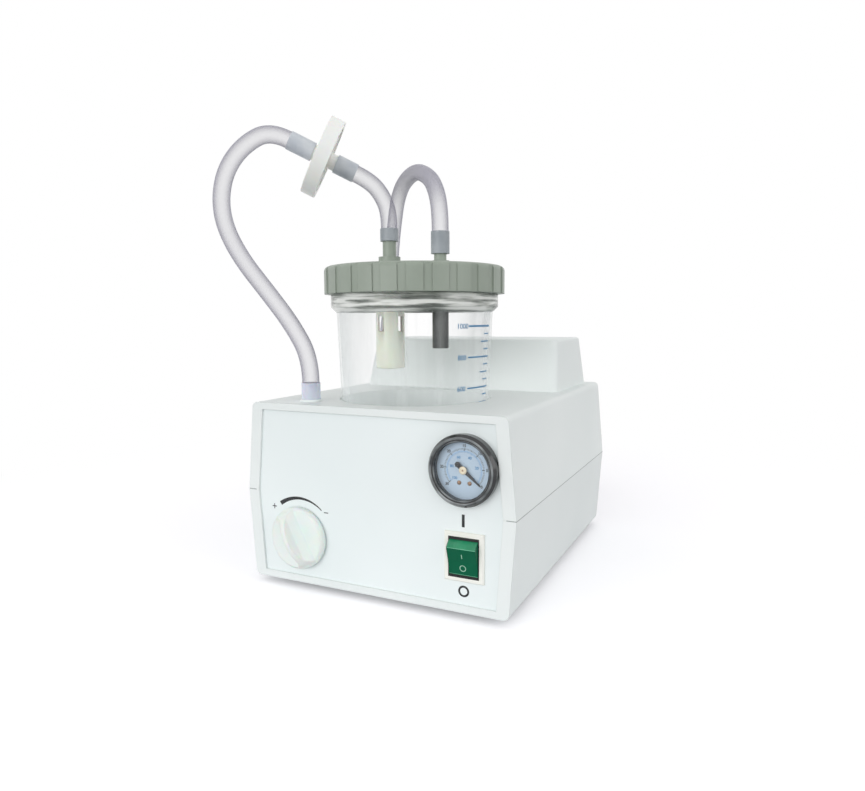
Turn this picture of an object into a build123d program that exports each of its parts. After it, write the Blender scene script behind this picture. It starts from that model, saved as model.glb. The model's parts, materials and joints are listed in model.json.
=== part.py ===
from build123d import *
import os
from math import cos, pi, radians, sin, sqrt, tan

# Portable vacuum aspirator: a two-shell plastic casing with a flat front and rear panel,
# a 1000 mL suction bottle in a well in the top, a raised cover over the pump at the back,
# a filter held by its hoses, and a gauge, a rocker switch and a regulator knob in front.
# Millimetres. X to the right seen from the front, the front looks along -Y, Z up.
# The origin is on the surface that the feet stand on, under the middle of the casing.

# Casing
foot_height = 4.0
casing_depth = 240.0
casing_height = 125.0
width_at_bottom = 191.0
width_at_parting = 200.0
width_at_top = 189.0
parting_height = 62.5
corner_radius = 4.0
wall = 3.0
lip_thickness = 1.5
panel_thickness = 2.5
rib_thickness = 2.0
window_side_inset = 8.5
window_end_inset = 5.0
panel_overlap = 2.0
slide_gap = 0.1

# Raised cover over the pump, part of the upper shell
cover_height = 40.5
cover_base = (169.5, 96.0)
cover_crown = (163.0, 73.5)
cover_front = 18.8
cover_lean = 11.8
cover_corner = 6.0
cover_edge = 2.5

# Bottle and its well
bottle_x = -2.5
bottle_y = -49.0
bottle_bottom_radius = 51.2
bottle_top_radius = 56.4
bottle_wall = 1.8
bottle_floor = 2.0
bottle_sink = 68.0
bottle_shoulder_height = 62.0
flange_radius = 60.0
flange_thickness = 9.0
flange_rise = 3.5
neck_radius = 58.2
neck_height = 15.5
well_gap = 1.2
well_wall = 2.5

# Cap
cap_radius = 64.7
cap_top_wall = 2.6
cap_crown_radius = 3.5
cap_grooves = 24
cap_groove_depth = 0.9
cap_groove_share = 0.34
cap_groove_start = 4.6
gasket_thickness = 1.4
thread_gap = 0.4

# Ports on the cap, hose sizes
port_spread = 20.5
hose_diameter = 12.0
bend_share = 0.45
barb_radius = 3.9
sleeve_radius = 6.6
fit_gap = 0.1
vacuum_boss_radius = 8.0
vacuum_boss_height = 8.2
vacuum_stem_radius = 4.9
vacuum_stem_height = 11.3
vacuum_sleeve_length = 9.0
patient_boss_radius = 6.4
patient_boss_height = 4.0
patient_stem_radius = 4.4
patient_stem_height = 4.8
patient_sleeve_length = 15.5
spigot_radius = 5.5
spigot_length = 9.0
inlet_tube_radius = 7.0
inlet_tube_length = 58.0
lip_gap = 0.3

# Float valve under the vacuum port
cage_radius = 10.6
cage_wall = 1.5
cage_length = 70.0
cage_window_height = 11.0
cage_window_width = 6.0
cage_window_drop = 32.0
cage_seat_drop = 12.0
seat_thickness = 2.0
seat_hole_radius = 3.2
float_radius = 8.4
float_length = 36.0
float_seal_radius = 5.0
float_seal_thickness = 2.0
float_rest_gap = 0.3

# Hose inlet on the casing top
inlet_x = -59.0
inlet_y = -100.0
inlet_flange_radius = 7.5
inlet_flange_thickness = 1.5
inlet_thread_radius = 5.0
panel_nut_height = 3.0
panel_nut_across = 14.0
casing_sleeve_length = 11.5

# Filter, placed by the middle of its hose end and its axis
filter_start = (-76.2, -94.6, 310.0)
filter_axis = (0.725, 0.546, -0.42)
filter_sleeve_length = 18.0
filter_hub_radius = 5.6
filter_in_hub = 2.6
filter_out_hub = 4.6
filter_radius = 28.0
filter_rim_width = 10.0
filter_rim_wall = 1.5
filter_shell_thickness = 2.0
filter_membrane_thickness = 0.6
filter_ribs = 12
filter_out_sleeve_length = 15.0

# Gauge
gauge_x = 66.3
gauge_z = 90.9
gauge_bezel_radius = 22.5
gauge_bezel_height = 7.0
gauge_window_radius = 18.2
gauge_body_radius = 20.0
gauge_body_depth = 24.0
gauge_flange_thickness = 1.0
gauge_wall = 1.5
lens_thickness = 1.5
dial_thickness = 0.8
dial_back = 0.3
needle_length = 14.5
needle_tail = 5.0
needle_width = 1.2
needle_thickness = 0.8
needle_hub_radius = 2.2
needle_rise = 1.0
needle_shaft_radius = 0.8
needle_shaft_depth = 8.0
needle_rest_angle = -40.0
shaft_gap = 0.05
movement_radius = 7.0
gauge_stem_radius = 4.5
gauge_stem_length = 9.0

# Rocker switch
switch_x = 66.2
switch_z = 35.8
switch_frame = (26.5, 31.5)
switch_frame_thickness = 2.0
switch_body = (22.0, 27.0)
switch_body_depth = 22.0
rocker_size = (19.0, 24.4)
rocker_gap = 0.35
rocker_tilt = 14.0
rocker_valley = 4.0
rocker_axis_depth = 3.5
rocker_pin_radius = 1.5
rocker_pin_reach = 0.7
rocker_root = 5.0
rocker_rise = 7.6
terminal_size = (0.8, 6.3, 9.0)

# Regulator
knob_x = -57.5
knob_z = 32.0
knob_radius = 21.5
knob_disc = 5.0
knob_edge = 1.5
knob_lift = 0.8
grip_height = 10.5
grip_base = 15.0
grip_crest = 3.0
grip_angle = 28.0
knob_recess_radius = 12.0
knob_recess_depth = 3.2
spindle_radius = 3.0
spindle_reach = 9.0
spindle_depth = 12.0
regulator_thread_radius = 5.0
regulator_body_radius = 11.0
regulator_body_depth = 24.0
regulator_barb_inset = 8.0

# Pump: crankcase with one finned cylinder, motor along X, cooling fan on the shaft
pump_y = 50.0
pump_axis_height = 66.0
bracket_size = (150.0, 74.0, 2.0)
bracket_height = 20.0
mount_spread = (134.0, 58.0)
mount_boss_height = 5.0
mount_boss_radius = 7.0
mount_rubber_radius = 8.0
mount_stud_radius = 2.0
mount_nut_across = 7.0
mount_nut_height = 3.2
crankcase_size = (42.0, 46.0)
crankcase_x = -32.0
crankcase_top = 92.0
cylinder_radius = 17.0
cylinder_height = 26.0
cylinder_fins = 5
fin_reach = 3.0
fin_thickness = 1.6
head_size = (42.0, 42.0, 12.0)
stator_size = 70.0
stator_length = 36.0
stator_hole_radius = 3.0
stator_corner = 9.0
bell_radius = 31.0
front_bell_length = 16.0
rear_bell_length = 13.0
shaft_radius = 4.0
shaft_hold = 9.0
fan_radius = 32.0
fan_width = 10.0
fan_gap = 3.0
fan_blades = 7
fan_hub_radius = 9.0
blade_thickness = 1.6

# Rear panel
mains_x = 58.0
mains_z = 32.0
mains_flange = (50.0, 25.0, 3.0)
mains_body = (27.4, 20.4, 18.0)
mains_socket = (24.0, 17.0, 15.0)
mains_screw_spread = 40.0
pin_size = (2.0, 4.0, 12.0)
pin_spread = 14.0
fuse_x = 10.0
fuse_z = 32.0
fuse_thread_radius = 6.0
fuse_flange_radius = 8.5
fuse_flange_thickness = 2.0
fuse_cap_radius = 6.5
fuse_cap_height = 9.0
fuse_depth = 26.0
exhaust_x = -55.0
exhaust_z = 32.0
exhaust_thread_radius = 5.0
exhaust_radius = 6.5
exhaust_length = 16.3
vent_size = (46.0, 3.0)
vent_count = 6
vent_pitch = 7.0
vent_x = 0.0
vent_z = 88.0

# Feet and screws
foot_radius = 9.0
foot_spread = (150.0, 190.0)
foot_taper = 1.0
screw_radius = 1.5
screw_head_radius = 3.0
screw_head_height = 1.6
screw_gap = 0.1
foot_recess = 2.4
post_x = 83.0
front_post_y = -80.0
rear_post_y = 102.0
post_radius = 4.5
casing_screw_bite = 10.0

# Tubes inside the casing
line_diameter = 6.0
line_bend = 12.0
line_barb_radius = 3.0
line_barb_length = 6.0

# Route of each free hose. The points are chosen by hand.
hose_1_points = [
    (-59, -100, 159), (-71, -103, 182), (-87, -109, 205), (-104, -115, 228), (-115, -118.5, 250),
    (-117.5, -119.5, 270), (-113, -117.5, 290), (-102, -111.5, 306), (-86.35, -102.25, 315.9),
]
hose_2_points = [(-31.1, -60.64, 283.88), (-25.5, -53.5, 274), (-23, -49, 262.5)]
hose_3_points = [
    (18, -49, 260), (14, -46, 276), (3, -35, 289), (-19, -15, 299), (-45, 8, 291),
    (-58, 22, 262), (-67, 33, 232), (-77, 47, 198), (-92, 66, 167), (-109, 80, 136),
    (-117, 87, 100), (-119, 92, 64), (-118, 100, 34), (-112, 118, 14), (-100, 145, 6),
    (-91, 170, 6), (-88, 198, 6),
]

# Coil of the suction hose, the length that is put away behind the casing.
# The hose enters the lowest turn at the entry angle and runs clockwise seen from above.
coil_x = -20.0
coil_y = 222.0
coil_turn_radius = 68.0
coil_entry_angle = 180.0
coil_gap_angle = 50.0
coil_tail_angle = 40.0
connector_length = 34.0
connector_radius = 4.6
connector_flange_radius = 5.8

os.makedirs("parts", exist_ok=True)


def save(name, shape):
    export_step(shape, "parts/" + name + ".step")


def face_of(points):
    return make_face(Polyline(*points, close=True))


def turned(profile):
    """Solid of revolution about Z from points given as (radius, height)."""
    return revolve(face_of([(r, 0, z) for r, z in profile]), Axis.Z)


def rod(radius, low, high):
    return Pos(0, 0, (low + high) / 2) * Cylinder(radius, high - low)


def ring(outer, inner, low, high):
    return rod(outer, low, high) - rod(inner, low - 1, high + 1)


def hexagon_nut(across, bore, low, high):
    prism = extrude(RegularPolygon(across / 2, 6, major_radius=False), high - low)
    return Pos(0, 0, low) * prism - rod(bore, low - 1, high + 1)


def slab(size, low):
    return Pos(0, 0, low + size[2] / 2) * Box(*size)


# Levels
casing_bottom = foot_height
parting = casing_bottom + parting_height
casing_top = casing_bottom + casing_height
front = -casing_depth / 2
rear = casing_depth / 2
front_face = front + lip_thickness
rear_face = rear - lip_thickness
front_inner = front_face + panel_thickness
rear_inner = rear_face - panel_thickness
floor_inside = casing_bottom + wall

bottle_bottom = casing_top - bottle_sink
bottle_taper = (bottle_top_radius - bottle_bottom_radius) / (bottle_sink + bottle_shoulder_height)
shoulder = casing_top + bottle_shoulder_height
flange_low = shoulder + flange_rise
flange_top = flange_low + flange_thickness
neck_top = flange_top + neck_height
cap_bottom = flange_top + lip_gap
cap_inside = neck_top + gasket_thickness
cap_top = cap_inside + cap_top_wall
vacuum_x = bottle_x - port_spread
patient_x = bottle_x + port_spread


def bottle_radius_at(height):
    return bottle_bottom_radius + bottle_taper * (height - bottle_bottom)


def half_width_at(height):
    low, high = width_at_bottom / 2, width_at_parting / 2
    if height <= parting:
        return low + (high - low) * (height - casing_bottom) / parting_height
    top = width_at_top / 2
    return high + (top - high) * (height - parting) / (casing_top - parting)


def section(side_inset, end_inset, start, stop):
    """Six-sided casing section, drawn in by the two insets, from start to stop along Y."""
    low, high = casing_bottom + end_inset, casing_top - end_inset
    right = [(half_width_at(z) - side_inset, z) for z in (low, parting, high)]
    left = [(-x, z) for x, z in reversed(right)]
    outline = face_of([(x, start, z) for x, z in right + left])
    return extrude(outline, stop - start, dir=(0, 1, 0))


front_stack = lip_thickness + panel_thickness + rib_thickness


def casing_shell():
    outer = section(0, 0, front, rear)
    long_edges = outer.edges().filter_by(Axis.Y)
    corners = long_edges.filter_by(lambda e: abs(e.center().Z - parting) > 1)
    body = fillet(corners, corner_radius)
    body -= section(wall, wall, front + front_stack, rear - front_stack)
    body -= section(window_side_inset, window_end_inset, front - 1, rear + 1)
    slot_side = window_side_inset - panel_overlap - slide_gap
    slot_end = window_end_inset - panel_overlap - slide_gap
    body -= section(slot_side, slot_end, front_face, front_inner + slide_gap)
    body -= section(slot_side, slot_end, rear_inner - slide_gap, rear_face)
    return body


def half_space(low, high):
    return Pos(0, 0, (low + high) / 2) * Box(2 * width_at_parting, 2 * casing_depth, high - low)


def post_places():
    return [(sx * post_x, y) for sx in (-1, 1) for y in (front_post_y, rear_post_y)]


def mount_places():
    spread_x, spread_y = mount_spread
    return [(sx * spread_x / 2, pump_y + sy * spread_y / 2) for sx in (-1, 1) for sy in (-1, 1)]


def foot_places():
    spread_x, spread_y = foot_spread
    return [(sx * spread_x / 2, sy * spread_y / 2) for sx in (-1, 1) for sy in (-1, 1)]


foot_screw_top = floor_inside + 3.0
mount_stud_length = mount_boss_height - 0.5
post_screw_top = parting + casing_screw_bite


def lower_shell(shell):
    body = shell & half_space(casing_bottom - 1, parting)
    for x, y in post_places():
        body += Pos(x, y) * rod(post_radius, floor_inside - 1, parting)
    for x, y in mount_places():
        body += Pos(x, y) * rod(mount_boss_radius, floor_inside - 1, floor_inside + mount_boss_height)
    for x, y in foot_places():
        body += Pos(x, y) * rod(post_radius, floor_inside - 1, foot_screw_top)
    for x, y in post_places():
        body -= Pos(x, y) * rod(screw_radius + screw_gap, casing_bottom - 1, parting + 1)
        body -= Pos(x, y) * rod(screw_head_radius + screw_gap, casing_bottom - 1, casing_bottom + foot_recess)
    for x, y in mount_places():
        low = floor_inside + mount_boss_height - mount_stud_length
        body -= Pos(x, y) * rod(mount_stud_radius + screw_gap, low - screw_gap, parting)
    for x, y in foot_places():
        body -= Pos(x, y) * rod(screw_radius + screw_gap, casing_bottom - 1, foot_screw_top + 1)
    return body


cover_top = casing_top + cover_height


def rounded_block(size, middle_y, height, inset):
    width, depth = size
    corner = max(cover_corner - inset, 1.0)
    sketch = RectangleRounded(width - 2 * inset, depth - 2 * inset, corner)
    return Pos(0, middle_y, height) * sketch


def cover_solid(inset, low, high):
    base_y = cover_front + cover_base[1] / 2
    crown_y = cover_front + cover_lean + cover_crown[1] / 2
    return loft([rounded_block(cover_base, base_y, low, inset), rounded_block(cover_crown, crown_y, high, inset)])


def upper_shell(shell):
    body = shell & half_space(parting, casing_top + 1)
    cover = cover_solid(0, casing_top - 1, cover_top)
    rim = cover.faces().sort_by(Axis.Z)[-1].edges()
    cover = fillet(rim, cover_edge)
    body += cover
    cup_low = bottle_bottom - well_wall
    cup = turned([
        (0, cup_low), (bottle_radius_at(bottle_bottom) + well_gap + well_wall, cup_low),
        (bottle_radius_at(casing_top) + well_gap + well_wall, casing_top - wall / 2), (0, casing_top - wall / 2),
    ])
    body += Pos(bottle_x, bottle_y) * cup
    well = turned([
        (0, bottle_bottom), (bottle_radius_at(bottle_bottom) + well_gap, bottle_bottom),
        (bottle_radius_at(casing_top) + well_gap, casing_top + 1), (0, casing_top + 1),
    ])
    body -= Pos(bottle_x, bottle_y) * well
    body -= cover_solid(wall, casing_top - wall - 1, cover_top - wall)
    for x, y in post_places():
        body += Pos(x, y) * rod(post_radius, parting, casing_top - wall / 2)
    for x, y in post_places():
        body -= Pos(x, y) * rod(screw_radius, parting - 1, post_screw_top + 1)
    body -= Pos(inlet_x, inlet_y) * rod(inlet_thread_radius + screw_gap, casing_top - 2 * wall, casing_top + 1)
    return body


def panel(start, stop):
    side = window_side_inset - panel_overlap
    end = window_end_inset - panel_overlap
    return section(side, end, start, stop)


def on_front(x, z):
    """Plane on the front panel's outer face. Its Z points out of the casing."""
    return Plane(origin=(x, front_face, z), x_dir=(1, 0, 0), z_dir=(0, -1, 0))


def on_rear(x, z):
    return Plane(origin=(x, rear_face, z), x_dir=(-1, 0, 0), z_dir=(0, 1, 0))


gauge_place = on_front(gauge_x, casing_bottom + gauge_z)
switch_place = on_front(switch_x, casing_bottom + switch_z)
knob_place = on_front(knob_x, casing_bottom + knob_z)
mains_place = on_rear(mains_x, casing_bottom + mains_z)
fuse_place = on_rear(fuse_x, casing_bottom + fuse_z)
exhaust_place = on_rear(exhaust_x, casing_bottom + exhaust_z)


def front_panel():
    body = panel(front_face, front_inner)
    body -= gauge_place * rod(gauge_body_radius + fit_gap, -panel_thickness - 1, 1)
    opening = (switch_body[0] + 2 * fit_gap, switch_body[1] + 2 * fit_gap, panel_thickness + 2)
    body -= switch_place * slab(opening, -panel_thickness - 1)
    body -= knob_place * rod(regulator_thread_radius + fit_gap, -panel_thickness - 1, 1)
    return body


def rear_panel():
    body = panel(rear_inner, rear_face)
    opening = (mains_body[0] + 2 * fit_gap, mains_body[1] + 2 * fit_gap, panel_thickness + 2)
    body -= mains_place * slab(opening, -panel_thickness - 1)
    for side in (-1, 1):
        body -= mains_place * Pos(side * mains_screw_spread / 2, 0) * rod(
            screw_radius + screw_gap, -panel_thickness - 1, 1)
    body -= fuse_place * rod(fuse_thread_radius + fit_gap, -panel_thickness - 1, 1)
    body -= exhaust_place * rod(exhaust_thread_radius + fit_gap, -panel_thickness - 1, 1)
    for index in range(vent_count):
        height = vent_z + (index - (vent_count - 1) / 2) * vent_pitch
        slot = (vent_size[0], vent_size[1], panel_thickness + 2)
        body -= on_rear(vent_x, casing_bottom + height) * slab(slot, -panel_thickness - 1)
    return body


def rubber_feet():
    foot = turned([
        (0, foot_height), (foot_radius, foot_height), (foot_radius - foot_taper, 0), (0, 0),
    ])
    foot -= rod(screw_head_radius + screw_gap, -1, foot_recess)
    foot -= rod(screw_radius + screw_gap, 0, foot_height + 1)
    return [Pos(x, y) * foot for x, y in foot_places()]


def screw(head_low, shank_top):
    """Pan head under a shank that points up."""
    return turned([
        (0, head_low), (screw_head_radius, head_low), (screw_head_radius, head_low + screw_head_height),
        (screw_radius, head_low + screw_head_height), (screw_radius, shank_top), (0, shank_top),
    ])


def bottle():
    outer_low = bottle_bottom
    wall_top = bottle_radius_at(shoulder)
    inner_neck = neck_radius - bottle_wall - 0.4
    profile = [
        (0, outer_low), (bottle_bottom_radius - 3, outer_low), (bottle_bottom_radius, outer_low + 3),
        (wall_top, shoulder), (flange_radius, flange_low), (flange_radius, flange_top),
        (neck_radius, flange_top), (neck_radius, neck_top), (inner_neck, neck_top), (inner_neck, flange_low),
        (wall_top - bottle_wall, shoulder - 1), (bottle_bottom_radius - bottle_wall, outer_low + 4),
        (bottle_bottom_radius - bottle_wall - 2, outer_low + bottle_floor), (0, outer_low + bottle_floor),
    ]
    return Pos(bottle_x, bottle_y) * turned(profile)


def bottle_cap():
    inner = neck_radius + thread_gap
    body = rod(cap_radius, cap_bottom, cap_top)
    top_edge = body.edges().filter_by(GeomType.CIRCLE).sort_by(Axis.Z)[-1]
    body = fillet(top_edge, cap_crown_radius)
    body -= rod(inner, cap_bottom - 1, cap_inside)
    groove_width = cap_groove_share * 2 * pi * cap_radius / cap_grooves
    groove = Box(2 * cap_groove_depth, groove_width, cap_top - cap_bottom + 2)
    middle = (cap_top + cap_bottom) / 2
    for index in range(cap_grooves):
        angle = cap_groove_start + index * 360 / cap_grooves
        body -= Rot(0, 0, angle) * Pos(cap_radius, 0, middle) * groove
    for offset in (-port_spread, port_spread):
        body -= Pos(offset, 0) * rod(spigot_radius + fit_gap, cap_inside - 1, cap_top + 1)
    return Pos(bottle_x, bottle_y) * body


def cap_gasket():
    inner = neck_radius - bottle_wall - 0.4
    return Pos(bottle_x, bottle_y) * ring(neck_radius, inner, neck_top, cap_inside)


def port(boss_radius, boss_height, stem_radius, stem_height, sleeve_length):
    boss = cap_top + boss_height
    stem = boss + stem_height
    low = cap_top - spigot_length
    body = turned([
        (0, low), (spigot_radius, low), (spigot_radius, cap_top), (boss_radius, cap_top),
        (boss_radius, boss), (stem_radius, boss), (stem_radius, stem),
        (barb_radius, stem), (barb_radius, stem + sleeve_length - 1), (0, stem + sleeve_length - 1),
    ])
    return body - rod(barb_radius - 1.4, low - 1, stem + sleeve_length)


def sleeve(low, length):
    return ring(sleeve_radius, barb_radius + fit_gap, low, low + length)


vacuum_stem_top = cap_top + vacuum_boss_height + vacuum_stem_height
patient_stem_top = cap_top + patient_boss_height + patient_stem_height
hose_2_end = vacuum_stem_top + vacuum_sleeve_length
hose_3_start = patient_stem_top + patient_sleeve_length
cage_top = cap_inside - lip_gap
cage_bottom = cage_top - cage_length
seat_low = cage_top - cage_seat_drop
float_bottom = cage_bottom + cage_wall + float_rest_gap
float_top = float_bottom + float_length
float_travel = seat_low - float_top - float_seal_thickness - float_rest_gap


def float_cage():
    inner = cage_radius - cage_wall
    body = rod(cage_radius, cage_bottom, cage_top)
    body -= rod(inner, cage_bottom + cage_wall, seat_low)
    body -= rod(spigot_radius + fit_gap, seat_low + seat_thickness, cage_top + 1)
    body -= rod(seat_hole_radius, seat_low - 1, cage_top)
    body -= rod(inner - 3, cage_bottom - 1, cage_bottom + cage_wall + 1)
    window = Box(4 * cage_radius, cage_window_width, cage_window_height)
    middle = cage_top - cage_window_drop - cage_window_height / 2
    for angle in (20, 110):
        body -= Rot(0, 0, angle) * Pos(0, 0, middle) * window
    return Pos(vacuum_x, bottle_y) * body


def inlet_tube():
    top = cap_inside - lip_gap
    body = ring(inlet_tube_radius, spigot_radius + fit_gap, top - inlet_tube_length, top)
    return Pos(patient_x, bottle_y) * body


def casing_inlet():
    low = casing_top - wall - panel_nut_height - 1.0
    flange = casing_top + inlet_flange_thickness
    top = flange + casing_sleeve_length - 1
    body = turned([
        (0, low), (inlet_thread_radius, low), (inlet_thread_radius, casing_top),
        (inlet_flange_radius, casing_top), (inlet_flange_radius, flange), (barb_radius, flange),
        (barb_radius, top), (0, top),
    ])
    body += rod(line_barb_radius, low - line_barb_length, low)
    body -= rod(line_barb_radius - 1.2, low - line_barb_length - 1, top + 1)
    return Pos(inlet_x, inlet_y) * body


inlet_barb_end = casing_top - wall - panel_nut_height - 1.0 - line_barb_length
inlet_sleeve_low = casing_top + inlet_flange_thickness
hose_1_start = inlet_sleeve_low + casing_sleeve_length


# Filter
filter_place = Plane(origin=filter_start, z_dir=filter_axis)
rim_low = filter_sleeve_length + filter_in_hub
rim_high = rim_low + filter_rim_width
out_sleeve_low = rim_high + filter_out_hub
filter_length = out_sleeve_low + filter_out_sleeve_length
membrane_low = (rim_low + rim_high - filter_membrane_thickness) / 2
membrane_high = membrane_low + filter_membrane_thickness
shell_radius = filter_radius - filter_rim_wall


def filter_ribs_at(low, height):
    inner = filter_hub_radius + 1
    outer = shell_radius - 2.5
    rib = Pos((inner + outer) / 2, 0, low + height / 2) * Box(outer - inner, 1.2, height)
    return [Rot(0, 0, index * 360 / filter_ribs) * rib for index in range(filter_ribs)]


def filter_half(hub_end, rim_end, stem_end, membrane):
    """One half of the filter housing: dished disc, hub and hose barb."""
    toward = 1 if membrane > rim_end else -1
    back = membrane - toward * filter_shell_thickness
    body = turned([
        (0, membrane), (shell_radius, membrane), (shell_radius, rim_end), (shell_radius - 2.5, rim_end),
        (shell_radius - 2.5, back), (filter_hub_radius, back), (filter_hub_radius, hub_end),
        (barb_radius, hub_end), (barb_radius, stem_end), (0, stem_end),
    ])
    low = min(back, rim_end + toward * 0.6)
    for rib in filter_ribs_at(low, abs(back - rim_end) - 0.6):
        body += rib
    low, high = sorted((stem_end, membrane))
    return filter_place * (body - rod(barb_radius - 1.4, low - 1, high + 1))


# Gauge, in the plane on the panel: heights above the panel's outer face
lens_high = gauge_bezel_height - gauge_wall
lens_low = lens_high - lens_thickness
dial_low = dial_back
dial_high = dial_low + dial_thickness
needle_low = dial_high + needle_rise
needle_high = needle_low + needle_thickness
gauge_back = -gauge_body_depth


def gauge_case():
    body = rod(gauge_body_radius, gauge_back, gauge_flange_thickness)
    body += rod(gauge_bezel_radius - gauge_wall, 0, gauge_flange_thickness)
    body -= rod(gauge_body_radius - gauge_wall, gauge_back + gauge_wall, gauge_flange_thickness + 1)
    body += rod(gauge_stem_radius, gauge_back - gauge_stem_length, gauge_back)
    body += rod(line_barb_radius, gauge_stem_end, gauge_back)
    return gauge_place * body


gauge_stem_end = gauge_back - gauge_stem_length - line_barb_length


def gauge_bezel():
    inner = gauge_bezel_radius - gauge_wall + slide_gap
    body = turned([
        (gauge_bezel_radius, 0), (gauge_bezel_radius, gauge_bezel_height - 2),
        (gauge_bezel_radius - 1.6, gauge_bezel_height), (gauge_window_radius + 0.8, gauge_bezel_height),
        (gauge_window_radius, lens_high), (inner, lens_high), (inner, 0),
    ])
    return gauge_place * body


def gauge_lens():
    seat = gauge_bezel_radius - gauge_wall
    return gauge_place * rod(seat, lens_low, lens_high)


def gauge_spacer():
    """Ring that holds the lens against the bezel."""
    outer = gauge_bezel_radius - gauge_wall
    return gauge_place * ring(outer, gauge_body_radius - gauge_wall, gauge_flange_thickness, lens_low)


def gauge_dial():
    radius = gauge_body_radius - gauge_wall - slide_gap
    return gauge_place * ring(radius, needle_shaft_radius + 0.3, dial_low, dial_high)


def gauge_movement():
    body = rod(movement_radius, gauge_back + gauge_wall, dial_low)
    body -= rod(needle_shaft_radius + shaft_gap, dial_low - needle_shaft_depth, dial_low + 1)
    return gauge_place * body


def gauge_needle():
    pointer = face_of([
        (0, needle_width), (needle_length, needle_width / 6), (needle_length, -needle_width / 6),
        (0, -needle_width), (-needle_tail, -needle_width * 1.2), (-needle_tail, needle_width * 1.2),
    ])
    body = Pos(0, 0, needle_low) * extrude(pointer, needle_thickness)
    body += rod(needle_hub_radius, needle_low, needle_high + 0.4)
    body += rod(needle_shaft_radius, dial_low - needle_shaft_depth + 1, needle_low)
    return gauge_place * Rot(0, 0, needle_rest_angle) * body


# Switch, in the plane on the panel
rocker_axis = -rocker_axis_depth
window_size = (rocker_size[0] + 2 * rocker_gap, rocker_size[1] + 2 * rocker_gap)
rocker_half = rocker_size[1] / 2
rocker_room = rocker_half + rocker_gap


def switch_housing():
    frame = slab((*switch_frame, switch_frame_thickness), 0)
    frame = chamfer(frame.faces().sort_by(Axis.Z)[-1].edges(), 0.8)
    body = frame + slab((*switch_body, switch_body_depth), -switch_body_depth)
    pocket = Cylinder(rocker_room, window_size[0], rotation=(0, 90, 0))
    depth_below = rocker_root + rocker_half * sin(radians(rocker_tilt)) + rocker_gap
    well = pocket & slab((window_size[0], 2 * rocker_room, 2 * rocker_room), -depth_below)
    body -= Pos(0, 0, rocker_axis) * well
    body -= slab((window_size[0], 2 * rocker_room, 2 * switch_frame_thickness), rocker_axis)
    pins = Cylinder(rocker_pin_radius + shaft_gap, window_size[0] + 2 * rocker_pin_reach, rotation=(0, 90, 0))
    body -= Pos(0, 0, rocker_axis) * pins
    return switch_place * body


def rocker():
    """Two flat faces that meet in a shallow valley, on a barrel about the pivot."""
    width = rocker_size[0]
    barrel = Cylinder(rocker_half, width, rotation=(0, 90, 0))
    rise = rocker_half * tan(radians(rocker_valley))
    outline = face_of([
        (0, -rocker_half - 1, -rocker_root), (0, rocker_half + 1, -rocker_root),
        (0, rocker_half + 1, rocker_rise + rise), (0, 0, rocker_rise),
        (0, -rocker_half - 1, rocker_rise + rise),
    ])
    block = extrude(outline, width / 2, both=True, dir=(1, 0, 0))
    body = block & barrel
    body += Cylinder(rocker_pin_radius, width + 2 * rocker_pin_reach, rotation=(0, 90, 0))
    return switch_place * Pos(0, 0, rocker_axis) * Rot(rocker_tilt, 0, 0) * body


def switch_terminals():
    low = -switch_body_depth - terminal_size[2]
    blades = []
    for column in (-5, 5):
        for row in (-7, 7):
            blades.append(switch_place * Pos(column, row) * slab(terminal_size, low))
    return blades


# Regulator, in the plane on the panel
disc_low = knob_lift
disc_high = disc_low + knob_disc


def regulator_body():
    back = -panel_thickness - regulator_body_depth
    body = rod(regulator_body_radius, back, -panel_thickness)
    body += rod(regulator_thread_radius, -panel_thickness, panel_nut_height)
    body -= rod(spindle_radius + shaft_gap, -spindle_depth - 0.5, panel_nut_height + 1)
    body += rod(line_barb_radius, back - line_barb_length, back)
    reach = regulator_body_radius + line_barb_length / 2 - 1
    upward = Cylinder(line_barb_radius, line_barb_length + 2, rotation=(90, 0, 0))
    sideways = Cylinder(line_barb_radius, line_barb_length + 2, rotation=(0, 90, 0))
    body += Pos(0, reach, back + regulator_barb_inset) * upward
    body += Pos(reach, 0, back + regulator_barb_inset) * sideways
    return knob_place * body


regulator_back_end = -panel_thickness - regulator_body_depth - line_barb_length
regulator_side_depth = -panel_thickness - regulator_body_depth + regulator_barb_inset
regulator_side_end = regulator_body_radius + line_barb_length


def panel_nuts():
    """Two like nuts, on the regulator's thread and under the hose inlet."""
    nut = hexagon_nut(panel_nut_across, regulator_thread_radius + fit_gap, 0, panel_nut_height)
    return [knob_place * nut, Pos(inlet_x, inlet_y, casing_top - wall - panel_nut_height) * nut]


def regulator_spindle():
    return knob_place * rod(spindle_radius, -spindle_depth, spindle_reach)


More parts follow.
